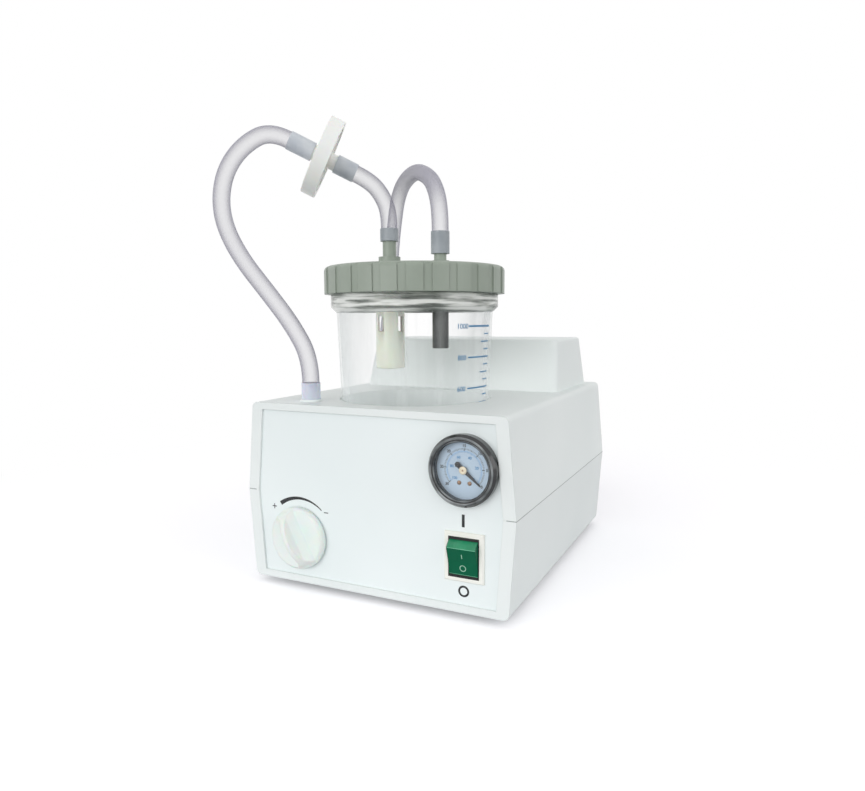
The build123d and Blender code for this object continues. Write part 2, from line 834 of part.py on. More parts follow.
def regulator_knob():
    disc = rod(knob_radius, disc_low, disc_high)
    rim = disc.edges().filter_by(GeomType.CIRCLE).sort_by(Axis.Z)[-1]
    body = chamfer(rim, knob_edge)
    chord = knob_radius - knob_edge - 0.5
    arch_radius = (chord ** 2 + grip_height ** 2) / (2 * grip_height)
    flank = face_of([
        (-grip_base / 2, 0, disc_high - 1), (grip_base / 2, 0, disc_high - 1),
        (grip_base / 2, 0, disc_high), (grip_crest / 2 + 1.2, 0, disc_high + grip_height * 0.45),
        (grip_crest / 2, 0, disc_high + grip_height + 1), (-grip_crest / 2, 0, disc_high + grip_height + 1),
        (-grip_crest / 2 - 1.2, 0, disc_high + grip_height * 0.45), (-grip_base / 2, 0, disc_high),
    ])
    bar = extrude(flank, knob_radius, both=True, dir=(0, 1, 0))
    arch = Pos(0, 0, disc_high + grip_height - arch_radius) * Cylinder(
        arch_radius, 2 * knob_radius, rotation=(0, 90, 0))
    grip = bar & arch & rod(knob_radius - knob_edge, disc_high - 1, disc_high + 2 * grip_height)
    body += Rot(0, 0, grip_angle) * grip
    body -= rod(knob_recess_radius, disc_low - 1, disc_low + knob_recess_depth)
    body -= rod(spindle_radius, disc_low - 1, spindle_reach)
    return knob_place * body


# Pump
axis_z = casing_bottom + pump_axis_height
bracket_low = casing_bottom + bracket_height
bracket_top = bracket_low + bracket_size[2]
boss_top = floor_inside + mount_boss_height
stator_start = crankcase_x + crankcase_size[0] / 2 + front_bell_length
stator_end = stator_start + stator_length
bell_end = stator_end + rear_bell_length
along_x = Plane(origin=(0, pump_y, axis_z), x_dir=(0, 1, 0), z_dir=(1, 0, 0))
crank_top = casing_bottom + crankcase_top
head_low = crank_top + cylinder_height
head_top = head_low + head_size[2]


def pump_bracket():
    body = Pos(0, pump_y, bracket_low + bracket_size[2] / 2) * Box(*bracket_size)
    rail_height = axis_z - stator_size / 2 - bracket_top
    for side in (-1, 1):
        rail = Box(stator_length, 10, rail_height)
        place = Pos((stator_start + stator_end) / 2, pump_y + side * 24, bracket_top + rail_height / 2)
        body += place * rail
    for x, y in mount_places():
        body -= Pos(x, y) * rod(mount_stud_radius + screw_gap, bracket_low - 1, bracket_top + 1)
    return body


def pump_mounts():
    waist = mount_rubber_radius - 2
    middle = (boss_top + bracket_low) / 2
    stud_top = bracket_top + mount_nut_height + 1
    low = boss_top - mount_stud_length
    mount = turned([
        (0, low), (mount_stud_radius, low), (mount_stud_radius, boss_top),
        (mount_rubber_radius, boss_top), (mount_rubber_radius, boss_top + 2), (waist, middle),
        (mount_rubber_radius, bracket_low - 2), (mount_rubber_radius, bracket_low),
        (mount_stud_radius, bracket_low), (mount_stud_radius, stud_top), (0, stud_top),
    ])
    return [Pos(x, y) * mount for x, y in mount_places()]


def mount_nuts():
    nut = hexagon_nut(mount_nut_across, mount_stud_radius + screw_gap, bracket_top, bracket_top + mount_nut_height)
    return [Pos(x, y) * nut for x, y in mount_places()]


def pump_crankcase():
    width, depth = crankcase_size
    height = crank_top - bracket_top
    body = Pos(crankcase_x, pump_y, bracket_top + height / 2) * Box(width, depth, height)
    body = fillet(body.edges().filter_by(Axis.Z), 5)
    start = crankcase_x + width / 2
    body += along_x * rod(bell_radius, start, stator_start)
    cover = along_x * rod(16, start - width - 2, start - width)
    return body + cover


def pump_cylinder():
    body = rod(cylinder_radius, crank_top, head_low)
    pitch = cylinder_height / (cylinder_fins + 1)
    for index in range(cylinder_fins):
        low = crank_top + (index + 1) * pitch - fin_thickness / 2
        body += rod(cylinder_radius + fin_reach, low, low + fin_thickness)
    return Pos(crankcase_x, pump_y) * body


def pump_head():
    body = Pos(crankcase_x, pump_y) * slab(head_size, head_low)
    body = fillet(body.edges().filter_by(Axis.Z), 4)
    for side in (-1, 1):
        barb = Cylinder(line_barb_radius, line_barb_length + 2, rotation=(0, 90, 0))
        reach = head_size[0] / 2 + line_barb_length / 2 - 1
        body += Pos(crankcase_x + side * reach, pump_y, head_low + head_size[2] / 2) * barb
    return body


head_barb_x = crankcase_x - head_size[0] / 2 - line_barb_length
head_out_x = crankcase_x + head_size[0] / 2 + line_barb_length


def motor_stator():
    block = Pos((stator_start + stator_end) / 2, pump_y, axis_z) * Box(stator_length, stator_size, stator_size)
    block = fillet(block.edges().filter_by(Axis.X), stator_corner)
    for turn in range(4):
        angle = 45 + 90 * turn
        reach = stator_size / 2 * sqrt(2) - stator_corner
        hole = along_x * Rot(0, 0, angle) * Pos(reach, 0) * rod(stator_hole_radius, stator_start - 1, stator_end + 1)
        block -= hole
    return block


def motor_bell():
    body = along_x * rod(bell_radius, stator_end, bell_end)
    body = chamfer(body.edges().filter_by(GeomType.CIRCLE).sort_by(Axis.X)[-1], 4)
    return body - along_x * rod(shaft_radius + shaft_gap, bell_end - shaft_hold - 0.5, bell_end + 1)


def cooling_fan():
    low = bell_end + fan_gap
    body = rod(fan_hub_radius, low, low + fan_width)
    body += rod(shaft_radius, bell_end - shaft_hold, low + fan_width + 2)
    reach = fan_radius - fan_hub_radius + 1
    blade = Pos(fan_hub_radius - 1 + reach / 2, 0, low + fan_width / 2) * Rot(35, 0, 0) * Box(
        reach, blade_thickness, fan_width * 1.1)
    for index in range(fan_blades):
        body += Rot(0, 0, index * 360 / fan_blades) * blade
    return along_x * body


# Rear panel
def mains_inlet():
    body = slab(mains_flange, 0)
    body = fillet(body.edges().filter_by(Axis.Z), 3)
    body += slab(mains_body, -mains_body[2])
    body -= slab((mains_socket[0], mains_socket[1], mains_socket[2] + 1), mains_flange[2] - mains_socket[2])
    for side in (-1, 1):
        body -= Pos(side * mains_screw_spread / 2, 0) * rod(screw_radius + screw_gap, -1, mains_flange[2] + 1)
    return mains_place * body


def mains_pins():
    low = mains_flange[2] - mains_socket[2]
    places = [(-pin_spread / 2, -2.0), (pin_spread / 2, -2.0), (0, 3.0)]
    return [mains_place * Pos(x, y) * slab(pin_size, low) for x, y in places]


def mains_screws():
    fastener = turned([
        (0, -panel_thickness - 4), (screw_radius, -panel_thickness - 4), (screw_radius, mains_flange[2]),
        (screw_head_radius, mains_flange[2]), (screw_head_radius - 0.6, mains_flange[2] + screw_head_height),
        (0, mains_flange[2] + screw_head_height),
    ])
    return [mains_place * Pos(side * mains_screw_spread / 2, 0) * fastener for side in (-1, 1)]


def fuse_holder():
    body = rod(fuse_flange_radius, 0, fuse_flange_thickness)
    body += rod(fuse_thread_radius, -fuse_depth, 0)
    body += rod(fuse_cap_radius, fuse_flange_thickness, fuse_cap_height)
    slot = Box(2 * fuse_cap_radius + 1, 1.6, 2)
    body -= Pos(0, 0, fuse_cap_height) * slot
    return fuse_place * body


def exhaust_silencer():
    body = rod(exhaust_thread_radius, -panel_thickness - 6, 0)
    body += rod(line_barb_radius, exhaust_end, -panel_thickness - 6)
    silencer = rod(exhaust_radius, 0, exhaust_length)
    silencer = fillet(silencer.edges().filter_by(GeomType.CIRCLE).sort_by(Axis.Z)[-1], 3)
    return exhaust_place * (body + silencer)


exhaust_end = -panel_thickness - 6 - line_barb_length


# Hoses and tubes
def route_radii(points):
    radii = []
    for before, here, after in zip(points, points[1:], points[2:]):
        into, away = Vector(here) - Vector(before), Vector(after) - Vector(here)
        turn = radians(into.get_angle(away))
        radii.append(bend_share * min(into.length, away.length) / tan(turn / 2))
    return radii


def swept(path, diameter):
    return sweep(Plane(origin=path @ 0, z_dir=path % 0) * Circle(diameter / 2), path)


def hose(points, name):
    radii = route_radii(points)
    path = FilletPolyline(*points, radius=radii)
    solid = swept(path, hose_diameter)
    expected = pi * hose_diameter ** 2 / 4 * path.length
    print(name, "length", round(path.length, 1), "volume/expected", round(solid.volume / expected, 4))
    print(name, "smallest radius in diameters", round(min(radii) / hose_diameter, 2))
    return solid


def line(*points):
    path = FilletPolyline(*points, radius=line_bend)
    return swept(path, line_diameter)


def along_filter(distance):
    direction = Vector(*filter_axis).normalized()
    return tuple(Vector(*filter_start) + direction * distance)


hose_1_route = [(inlet_x, inlet_y, hose_1_start), *hose_1_points, filter_start]
hose_2_route = [along_filter(filter_length), *hose_2_points, (vacuum_x, bottle_y, hose_2_end)]


def coil_point(angle, height):
    return (coil_x + coil_turn_radius * cos(radians(angle)), coil_y + coil_turn_radius * sin(radians(angle)), height)


coil_entry = coil_point(coil_entry_angle, hose_diameter / 2)
hose_3_route = [(patient_x, bottle_y, hose_3_start), *hose_3_points, coil_entry]


def coil_turn(layer, start, arc):
    """Part of one turn, from the start angle on, counter-clockwise."""
    low, half = layer * hose_diameter, hose_diameter / 2
    profile = face_of([
        (coil_turn_radius - half, 0, low), (coil_turn_radius + half, 0, low),
        (coil_turn_radius + half, 0, low + hose_diameter), (coil_turn_radius - half, 0, low + hose_diameter),
    ])
    return Rot(0, 0, start) * revolve(profile, Axis.Z, revolution_arc=arc)


def hose_coil():
    """Turns of the put-away hose as one closed solid: two layers and the end of the hose on top."""
    body = coil_turn(0, coil_entry_angle + coil_gap_angle, 360 - coil_gap_angle)
    body += coil_turn(1, 0, 360)
    body += coil_turn(2, coil_entry_angle - coil_tail_angle, coil_tail_angle)
    return Pos(coil_x, coil_y) * body


def hose_connector():
    """Stepped connector on the end of the suction hose, lying on the coil."""
    steps = [connector_radius, connector_radius - 1, connector_radius - 2]
    body = turned([
        (0, 0), (connector_flange_radius, 0), (connector_flange_radius, 5), (steps[0], 7),
        (steps[0], 14), (steps[1], 15), (steps[1], 22), (steps[2], 23), (steps[2], connector_length),
        (0, connector_length),
    ])
    body -= rod(1.5, -1, connector_length + 1)
    angle = coil_entry_angle - coil_tail_angle
    clockwise = (sin(radians(angle)), -cos(radians(angle)), 0)
    return Plane(origin=coil_point(angle, 2.5 * hose_diameter), z_dir=clockwise) * body


def vacuum_lines():
    """Tubes inside the casing: pump to regulator, regulator to hose inlet and gauge, pump to silencer."""
    head_z = head_low + head_size[2] / 2
    knob_level = casing_bottom + knob_z
    gauge_level = casing_bottom + gauge_z
    exhaust_level = casing_bottom + exhaust_z
    regulator_back = front_face - regulator_back_end
    regulator_side = front_face - regulator_side_depth
    gauge_back_end = front_face - gauge_stem_end
    exhaust_front = rear_face + exhaust_end
    return [
        line((head_barb_x, pump_y, head_z), (-74, pump_y, head_z), (-74, pump_y, knob_level),
             (-74, -46, knob_level), (knob_x, -64, knob_level), (knob_x, regulator_back, knob_level)),
        line((knob_x, regulator_side, knob_level + regulator_side_end), (knob_x, regulator_side, 75),
             (inlet_x, inlet_y, 95), (inlet_x, inlet_y, inlet_barb_end)),
        line((gauge_x, gauge_back_end, gauge_level), (gauge_x, gauge_back_end + 18, gauge_level),
             (gauge_x, gauge_back_end + 18, 44), (10, -80, 44), (-15, regulator_side, knob_level),
             (knob_x + regulator_side_end, regulator_side, knob_level)),
        line((head_out_x, pump_y, head_z), (head_out_x + 14, pump_y, head_z), (head_out_x + 14, 94, head_z),
             (head_out_x + 14, 94, 60), (-15, 88, exhaust_level), (exhaust_x, 88, exhaust_level),
             (exhaust_x, exhaust_front, exhaust_level)),
    ]


shell = casing_shell()
save("lower_shell", lower_shell(shell))
save("upper_shell", upper_shell(shell))
save("front_panel", front_panel())
save("rear_panel", rear_panel())
save("rubber_feet", Compound(children=rubber_feet()))
save("foot_screws", Compound(children=[Pos(x, y) * screw(foot_recess - screw_head_height, foot_screw_top)
                                       for x, y in foot_places()]))
save("casing_screws", Compound(children=[
    Pos(x, y) * screw(casing_bottom + foot_recess - screw_head_height, post_screw_top)
    for x, y in post_places()]))
save("bottle", bottle())
save("bottle_cap", bottle_cap())
save("cap_gasket", cap_gasket())
save("vacuum_port", Pos(vacuum_x, bottle_y) * port(
    vacuum_boss_radius, vacuum_boss_height, vacuum_stem_radius, vacuum_stem_height, vacuum_sleeve_length))
save("patient_port", Pos(patient_x, bottle_y) * port(
    patient_boss_radius, patient_boss_height, patient_stem_radius, patient_stem_height, patient_sleeve_length))
save("vacuum_sleeve", Pos(vacuum_x, bottle_y) * sleeve(vacuum_stem_top, vacuum_sleeve_length))
save("patient_sleeve", Pos(patient_x, bottle_y) * sleeve(patient_stem_top, patient_sleeve_length))
save("float_cage", float_cage())
save("float_body", Pos(vacuum_x, bottle_y) * rod(float_radius, float_bottom, float_top))
save("float_seal", Pos(vacuum_x, bottle_y) * rod(
    float_seal_radius, float_top, float_top + float_seal_thickness))
save("inlet_tube", inlet_tube())
save("casing_inlet", casing_inlet())
save("panel_nuts", Compound(children=panel_nuts()))
save("casing_sleeve", Pos(inlet_x, inlet_y) * sleeve(inlet_sleeve_low, casing_sleeve_length))
save("filter_inlet_half", filter_half(filter_sleeve_length, rim_low, 3.0, membrane_low))
save("filter_outlet_half", filter_half(out_sleeve_low, rim_high, filter_length - 3.0, membrane_high))
save("filter_membrane", filter_place * rod(shell_radius - 2, membrane_low, membrane_high))
save("filter_rim", filter_place * ring(filter_radius, shell_radius + fit_gap / 2, rim_low, rim_high))
save("filter_inlet_sleeve", filter_place * sleeve(0, filter_sleeve_length))
save("filter_outlet_sleeve", filter_place * sleeve(out_sleeve_low, filter_out_sleeve_length))
save("gauge_case", gauge_case())
save("gauge_bezel", gauge_bezel())
save("gauge_lens", gauge_lens())
save("gauge_spacer", gauge_spacer())
save("gauge_dial", gauge_dial())
save("gauge_movement", gauge_movement())
save("gauge_needle", gauge_needle())
save("switch_housing", switch_housing())
save("switch_rocker", rocker())
save("switch_terminals", Compound(children=switch_terminals()))
save("regulator_body", regulator_body())
save("regulator_spindle", regulator_spindle())
save("regulator_knob", regulator_knob())
save("pump_bracket", pump_bracket())
save("pump_mounts", Compound(children=pump_mounts()))
save("mount_nuts", Compound(children=mount_nuts()))
save("pump_crankcase", pump_crankcase())
save("pump_cylinder", pump_cylinder())
save("pump_head", pump_head())
save("motor_stator", motor_stator())
save("motor_bell", motor_bell())
save("cooling_fan", cooling_fan())
save("mains_inlet", mains_inlet())
save("mains_pins", Compound(children=mains_pins()))
save("mains_screws", Compound(children=mains_screws()))
save("fuse_holder", fuse_holder())
save("exhaust_silencer", exhaust_silencer())
save("hose_1", hose(hose_1_route, "hose_1"))
save("hose_2", hose(hose_2_route, "hose_2"))
save("hose_3", hose(hose_3_route, "hose_3"))
save("hose_3_coil", hose_coil())
save("hose_3_connector", hose_connector())
save("vacuum_lines", Compound(children=vacuum_lines()))
print("float travel", round(float_travel, 2))
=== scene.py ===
import json
from math import cos, pi, radians, sin, sqrt

import bmesh
import bpy
from mathutils import Matrix, Vector


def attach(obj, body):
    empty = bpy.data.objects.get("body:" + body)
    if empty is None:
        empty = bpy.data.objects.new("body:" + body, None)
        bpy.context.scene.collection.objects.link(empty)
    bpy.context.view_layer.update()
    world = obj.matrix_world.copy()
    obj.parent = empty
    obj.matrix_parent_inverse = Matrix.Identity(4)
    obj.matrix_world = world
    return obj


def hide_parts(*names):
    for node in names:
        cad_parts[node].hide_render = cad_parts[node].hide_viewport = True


# Dressed model of a portable vacuum aspirator. Metres, in the frame of the CAD model:
# X to the right seen from the front, the front looks along -Y, Z up, the floor at 0.

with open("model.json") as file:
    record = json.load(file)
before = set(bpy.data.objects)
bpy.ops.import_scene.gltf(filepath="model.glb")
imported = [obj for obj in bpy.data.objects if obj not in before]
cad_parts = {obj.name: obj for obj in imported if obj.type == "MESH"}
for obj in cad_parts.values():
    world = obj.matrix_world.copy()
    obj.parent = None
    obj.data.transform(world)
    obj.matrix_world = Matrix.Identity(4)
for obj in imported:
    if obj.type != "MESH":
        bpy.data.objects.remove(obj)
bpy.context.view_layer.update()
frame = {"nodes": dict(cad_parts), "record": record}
scene = bpy.context.scene
scene.view_settings.view_transform = "Standard"
MM = 0.001


# Camera, fitted to the corners of the case, the bottle and the cap
def aim_camera():
    yaw, pitch, roll = radians(25.61), radians(6.37), radians(-0.29)
    forward = Vector((-sin(yaw) * cos(pitch), cos(yaw) * cos(pitch), -sin(pitch)))
    level = Vector((cos(yaw), sin(yaw), 0))
    upright = level.cross(forward)
    right = level * cos(roll) + upright * sin(roll)
    up = upright * cos(roll) - level * sin(roll)
    place = (0.2276, -0.50015, 0.18655)
    data = bpy.data.cameras.new("camera")
    data.sensor_width = 36
    data.lens = 28.80
    data.clip_start = 0.01
    camera = bpy.data.objects.new("camera", data)
    scene.collection.objects.link(camera)
    turn = Matrix((right, up, -forward)).transposed().to_4x4()
    camera.matrix_world = Matrix.Translation(place) @ turn
    scene.camera = camera


aim_camera()


# Materials
# Vertical streaks of alpha in clear walls: painted reflections
REFLECTION_STREAK_NOISE = (70, 2.0, (1, 1, 0.02))
REFLECTION_STREAK_START, REFLECTION_STREAK_STOP = 0.52, 0.72
NOISE_LOW, NOISE_HIGH = 0.3, 0.7


def spread(tree, value, low, high, start=0.0, stop=1.0):
    """Spreads a value that goes from start to stop over low to high."""
    made = tree.nodes.new("ShaderNodeMapRange")
    made.inputs["From Min"].default_value = start
    made.inputs["From Max"].default_value = stop
    made.inputs["To Min"].default_value = low
    made.inputs["To Max"].default_value = high
    tree.links.new(value, made.inputs["Value"])
    return made


def maths(tree, operation, first, second):
    """Result of a maths node whose two inputs are sockets or numbers."""
    made = tree.nodes.new("ShaderNodeMath")
    made.operation = operation
    for value, socket in zip((first, second), made.inputs):
        if isinstance(value, float):
            socket.default_value = value
        else:
            tree.links.new(value, socket)
    return made.outputs[0]


class Shader:
    """A material with one principled shader and a few procedural textures."""

    def __init__(self, name, colour, roughness, **values):
        self.material = bpy.data.materials.new(name)
        self.material.use_nodes = True
        self.tree = self.material.node_tree
        self.main = self.tree.nodes["Principled BSDF"]
        self.main.inputs["Base Color"].default_value = (*linear(colour), 1)
        self.main.inputs["Roughness"].default_value = roughness
        for key, value in values.items():
            self.main.inputs[key.replace("_", " ")].default_value = value
        self.material.diffuse_color = (*linear(colour), 1)

    def node(self, kind, **values):
        made = self.tree.nodes.new(kind)
        for key, value in values.items():
            made.inputs[key].default_value = value
        return made

    def link(self, start, end):
        self.tree.links.new(start, end)

    def place(self, stretch=(1, 1, 1)):
        coordinates = self.tree.nodes.new("ShaderNodeTexCoord")
        mapping = self.node("ShaderNodeMapping", Scale=stretch)
        self.link(coordinates.outputs["Object"], mapping.inputs["Vector"])
        return mapping.outputs["Vector"]

    def noise(self, scale, detail=3.0, stretch=(1, 1, 1)):
        texture = self.node("ShaderNodeTexNoise", Scale=scale, Detail=detail)
        self.link(self.place(stretch), texture.inputs["Vector"])
        return texture.outputs["Fac"]

    def ramp(self, value, stops):
        ramp = self.tree.nodes.new("ShaderNodeValToRGB")
        ramp.color_ramp.elements[0].position = stops[0][0]
        ramp.color_ramp.elements[0].color = (*linear(stops[0][1]), 1)
        ramp.color_ramp.elements[1].position = stops[-1][0]
        ramp.color_ramp.elements[1].color = (*linear(stops[-1][1]), 1)
        for position, colour in stops[1:-1]:
            ramp.color_ramp.elements.new(position).color = (*linear(colour), 1)
        self.link(value, ramp.inputs["Fac"])
        return ramp.outputs["Color"]

    def shade(self, scale, low, high, stretch=(1, 1, 1)):
        """Base colour that drifts between two tints."""
        colour = self.ramp(self.noise(scale, 3.0, stretch), [(0.35, low), (0.65, high)])
        self.link(colour, self.main.inputs["Base Color"])
        return self

    def gloss(self, scale, low, high, stretch=(1, 1, 1)):
        """Roughness that drifts between two values."""
        value = self.noise(scale, 3.0, stretch)
        roughness = spread(self.tree, value, low, high, NOISE_LOW, NOISE_HIGH)
        self.link(roughness.outputs["Result"], self.main.inputs["Roughness"])
        return self

    def grain(self, scale, strength, distance=0.0002, round_edges=0.0, stretch=(1, 1, 1)):
        """Fine relief, and edges rounded in the shading by the given radius."""
        bump = self.node("ShaderNodeBump", Strength=strength, Distance=distance)
        self.link(self.noise(scale, 2.0, stretch), bump.inputs["Height"])
        if round_edges:
            bevel = self.node("ShaderNodeBevel", Radius=round_edges)
            self.link(bevel.outputs["Normal"], bump.inputs["Normal"])
        self.link(bump.outputs["Normal"], self.main.inputs["Normal"])
        return self

    def clear(self, centre, edge, power=0.5, reflection_streaks=0.0):
        """Alpha that grows towards the outline, as the way through a wall gets longer there; the optional
        vertical streaks of alpha are painted reflections.
        """
        facing = self.node("ShaderNodeLayerWeight", Blend=power)
        alpha = spread(self.tree, facing.outputs["Facing"], centre, edge).outputs["Result"]
        if reflection_streaks:
            value = self.noise(*REFLECTION_STREAK_NOISE)
            upright = spread(self.tree, value, 0.0, reflection_streaks, REFLECTION_STREAK_START, REFLECTION_STREAK_STOP)
            alpha = maths(self.tree, "ADD", alpha, upright.outputs["Result"])
        self.link(alpha, self.main.inputs["Alpha"])
        return self


def linear(colour):
    """Linear values of an sRGB colour given from 0 to 255."""
    parts = [c / 255 for c in colour]
    return [p / 12.92 if p <= 0.04045 else ((p + 0.055) / 1.055) ** 2.4 for p in parts]


def make_materials():
    made = {}

    def add(name, colour, roughness, **values):
        made[name] = Shader(name, colour, roughness, **values)
        return made[name]

    white = add("white_abs", (232, 238, 237), 0.42)
    white.shade(9, (230, 236, 235), (235, 240, 239)).gloss(35, 0.36, 0.48).grain(1500, 0.10, 0.0001, 0.0007)
    panel = add("panel_white", (234, 242, 242), 0.38)
    panel.shade(7, (232, 240, 240), (237, 244, 244)).gloss(40, 0.34, 0.44).grain(1900, 0.07, 0.0001, 0.0003)
    bottle = add("clear_bottle", (228, 233, 232), 0.04)
    # The bottle wall's vertical streaks of alpha are painted reflections
    bottle.shade(20, (238, 243, 244), (244, 248, 249)).gloss(30, 0.02, 0.06).clear(0.0, 0.75, 0.2, 0.10)
    # Dark and bright streaks painted into the collar's colour: painted reflections in its clear wall
    flange = add("flange_glass", (120, 124, 118), 0.06)
    reflection_streaks = [
        (0.30, (58, 62, 58)), (0.42, (112, 118, 112)), (0.50, (168, 172, 166)), (0.60, (240, 242, 238)),
    ]
    flange.link(flange.ramp(flange.noise(26, 4.0, (1, 1, 14)), reflection_streaks), flange.main.inputs["Base Color"])
    flange.gloss(40, 0.04, 0.1).clear(0.62, 0.97, 0.4)
    float_grey = add("float_grey", (186, 184, 168), 0.4)
    float_grey.shade(60, (178, 176, 160), (196, 194, 178)).grain(900, 0.1)
    gap = add("gap_grey", (150, 156, 156), 0.6)
    gap.shade(60, (142, 148, 148), (160, 166, 166))
    # Grey with darker streaks on the lip of the gloss black bezel: painted reflection
    lip = add("bezel_lip", (128, 132, 134), 0.14)
    lip.shade(90, (58, 62, 64), (140, 145, 147)).gloss(60, 0.1, 0.2)
    # Black for the rocker's dark side, and for the sheet of painted shade in the gap round the rocker
    side_black = add("side_black", (12, 14, 13), 0.4)
    side_black.shade(60, (10, 12, 11), (16, 18, 17))
    cap = add("cap_grey", (150, 160, 148), 0.4)
    cap.shade(30, (146, 156, 144), (155, 165, 153)).gloss(60, 0.34, 0.46).grain(1400, 0.12, 0.0001, 0.0006)
    cream = add("cream_plastic", (250, 250, 234), 0.35, Subsurface_Weight=0.25, Subsurface_Scale=0.004)
    cream.shade(25, (248, 248, 230), (252, 252, 238)).gloss(50, 0.3, 0.4)
    frame_white = add("frame_white", (243, 243, 236), 0.35)
    frame_white.shade(25, (241, 241, 233), (246, 246, 240)).grain(1500, 0.06, 0.0001, 0.0004)
    dark = add("dark_plastic", (78, 80, 76), 0.3)
    dark.shade(40, (70, 72, 68), (86, 88, 84)).gloss(60, 0.2, 0.35)
    # Lighter vertical streaks on the dark tube: painted reflections
    tube = add("tube_dark", (30, 31, 27), 0.35)
    tube.shade(160, (12, 13, 11), (58, 60, 52), (1, 1, 0.02)).gloss(60, 0.3, 0.4)
    black = add("black_gloss", (24, 26, 28), 0.16, Coat_Weight=0.5, Coat_Roughness=0.05)
    black.shade(30, (20, 22, 24), (30, 32, 34)).gloss(50, 0.12, 0.22).grain(1200, 0.04, 0.0001, 0.0006)
    green = add("green_gloss", (9, 92, 64), 0.4, Specular_IOR_Level=0.1)
    green.shade(40, (8, 88, 61), (12, 97, 68)).gloss(60, 0.34, 0.46).grain(1300, 0.05, 0.0001, 0.0004)
    # Lit and highlight copies of the rocker's green: painted light on its round ends and painted highlights
    # on its crests
    lit_green = add("green_light", (34, 138, 96), 0.3)
    lit_green.shade(40, (30, 132, 91), (40, 146, 103)).gloss(60, 0.26, 0.36)
    highlight_green = add("green_bright", (96, 180, 142), 0.3)
    highlight_green.shade(40, (88, 172, 134), (106, 190, 152)).gloss(60, 0.26, 0.36)
    knob = add(
        "knob_white", (234, 240, 237), 0.45,
        Specular_IOR_Level=0.3, Subsurface_Weight=0.4, Subsurface_Scale=0.006,
    )
    knob.shade(30, (232, 239, 235), (237, 242, 240)).gloss(50, 0.4, 0.5).grain(1500, 0.06, 0.0001, 0.002)
    hose = add("hose_clear", (154, 152, 168), 0.36)
    hose.shade(20, (151, 149, 165), (157, 155, 171)).gloss(50, 0.34, 0.38).clear(0.15, 0.99, 0.47)
    sleeve = add("sleeve_blue", (158, 165, 171), 0.4)
    sleeve.shade(60, (151, 158, 165), (165, 171, 177)).gloss(80, 0.34, 0.46).grain(900, 0.15, 0.0001, 0.0004)
    # Lighter copy of the sleeve material for the sleeves at the filter: painted light where the light falls
    # on them
    lit_sleeve = add("sleeve_painted_lit", (200, 206, 214), 0.35)
    lit_sleeve.shade(90, (188, 195, 205), (212, 217, 223)).gloss(80, 0.28, 0.4)
    lit_sleeve.grain(900, 0.15, 0.0001, 0.0004)
    pale = add("sleeve_pale", (222, 227, 244), 0.35, Subsurface_Weight=0.3, Subsurface_Scale=0.003)
    pale.shade(60, (217, 222, 241), (227, 232, 247)).gloss(70, 0.3, 0.4).clear(0.72, 0.98)
    filter_white = add("filter_white", (253, 253, 249), 0.34, Subsurface_Weight=0.15, Subsurface_Scale=0.003)
    filter_white.shade(40, (252, 252, 247), (254, 254, 251)).gloss(60, 0.28, 0.4)
    filter_white.grain(1500, 0.05, 0.0001, 0.0005)
    paper = add("filter_paper", (246, 246, 240), 0.8)
    paper.shade(300, (240, 240, 233), (250, 250, 245)).grain(2500, 0.5)
    lens = add("lens_clear", (252, 254, 255), 0.03, Alpha=0.035)
    lens.gloss(30, 0.02, 0.05)
    dial = add("dial_blue", (190, 211, 229), 0.45)
    dial.shade(60, (187, 208, 227), (193, 214, 231)).gloss(90, 0.4, 0.5)
    ink = add("ink_black", (34, 36, 38), 0.5)
    ink.shade(300, (26, 28, 30), (42, 44, 46))
    blue = add("ink_blue", (72, 138, 190), 0.5)
    blue.shade(300, (64, 130, 184), (82, 146, 196))
    band = add("ink_pale_blue", (150, 190, 226), 0.5)
    band.shade(300, (144, 184, 222), (158, 196, 230))
    mark = add("ink_pale_green", (150, 196, 172), 0.5)
    mark.shade(300, (140, 188, 163), (160, 204, 181))
    scale = add("scale_blue", (70, 128, 170), 0.45)
    scale.shade(300, (60, 118, 162), (82, 138, 178))
    needle = add("needle_black", (26, 28, 30), 0.35)
    needle.shade(80, (22, 24, 26), (32, 34, 36)).gloss(70, 0.3, 0.4)
    brass = add("brass", (206, 180, 118), 0.25, Metallic=1.0)
    brass.shade(60, (198, 172, 110), (214, 190, 130)).gloss(200, 0.2, 0.35).grain(1200, 0.1)
    hub = add("hub_cream", (236, 222, 190), 0.3)
    hub.shade(120, (230, 214, 180), (242, 230, 202)).gloss(100, 0.25, 0.35)
    rust = add("screw_bronze", (150, 120, 96), 0.35, Metallic=0.7)
    rust.shade(150, (140, 110, 86), (160, 130, 106)).gloss(150, 0.3, 0.4)
    steel = add("steel", (188, 190, 192), 0.28, Metallic=1.0)
    steel.shade(50, (180, 182, 184), (196, 198, 200)).gloss(200, 0.22, 0.4, (1, 1, 6)).grain(900, 0.12)
    cast = add("cast_alloy", (168, 170, 172), 0.5, Metallic=0.9)
    cast.shade(60, (158, 160, 162), (178, 180, 182)).grain(800, 0.5)
    rubber = add("rubber_black", (40, 40, 42), 0.7)
    rubber.shade(60, (34, 34, 36), (48, 48, 50)).grain(1200, 0.4)
    red = add("rubber_red", (168, 52, 44), 0.6)
    red.shade(60, (160, 46, 38), (176, 60, 52)).grain(1200, 0.3)
    fan = add("fan_plastic", (60, 62, 66), 0.45)
    fan.shade(60, (54, 56, 60), (68, 70, 74)).grain(1200, 0.2)
    bronze = add("bronze", (176, 140, 92), 0.6, Metallic=0.8)
    bronze.shade(400, (150, 116, 72), (196, 160, 110)).grain(900, 0.9)
    tie = add("tie_grey", (120, 124, 130), 0.7)
    tie.shade(500, (108, 112, 118), (132, 136, 142)).grain(1500, 0.6)
    return made


materials = make_materials()


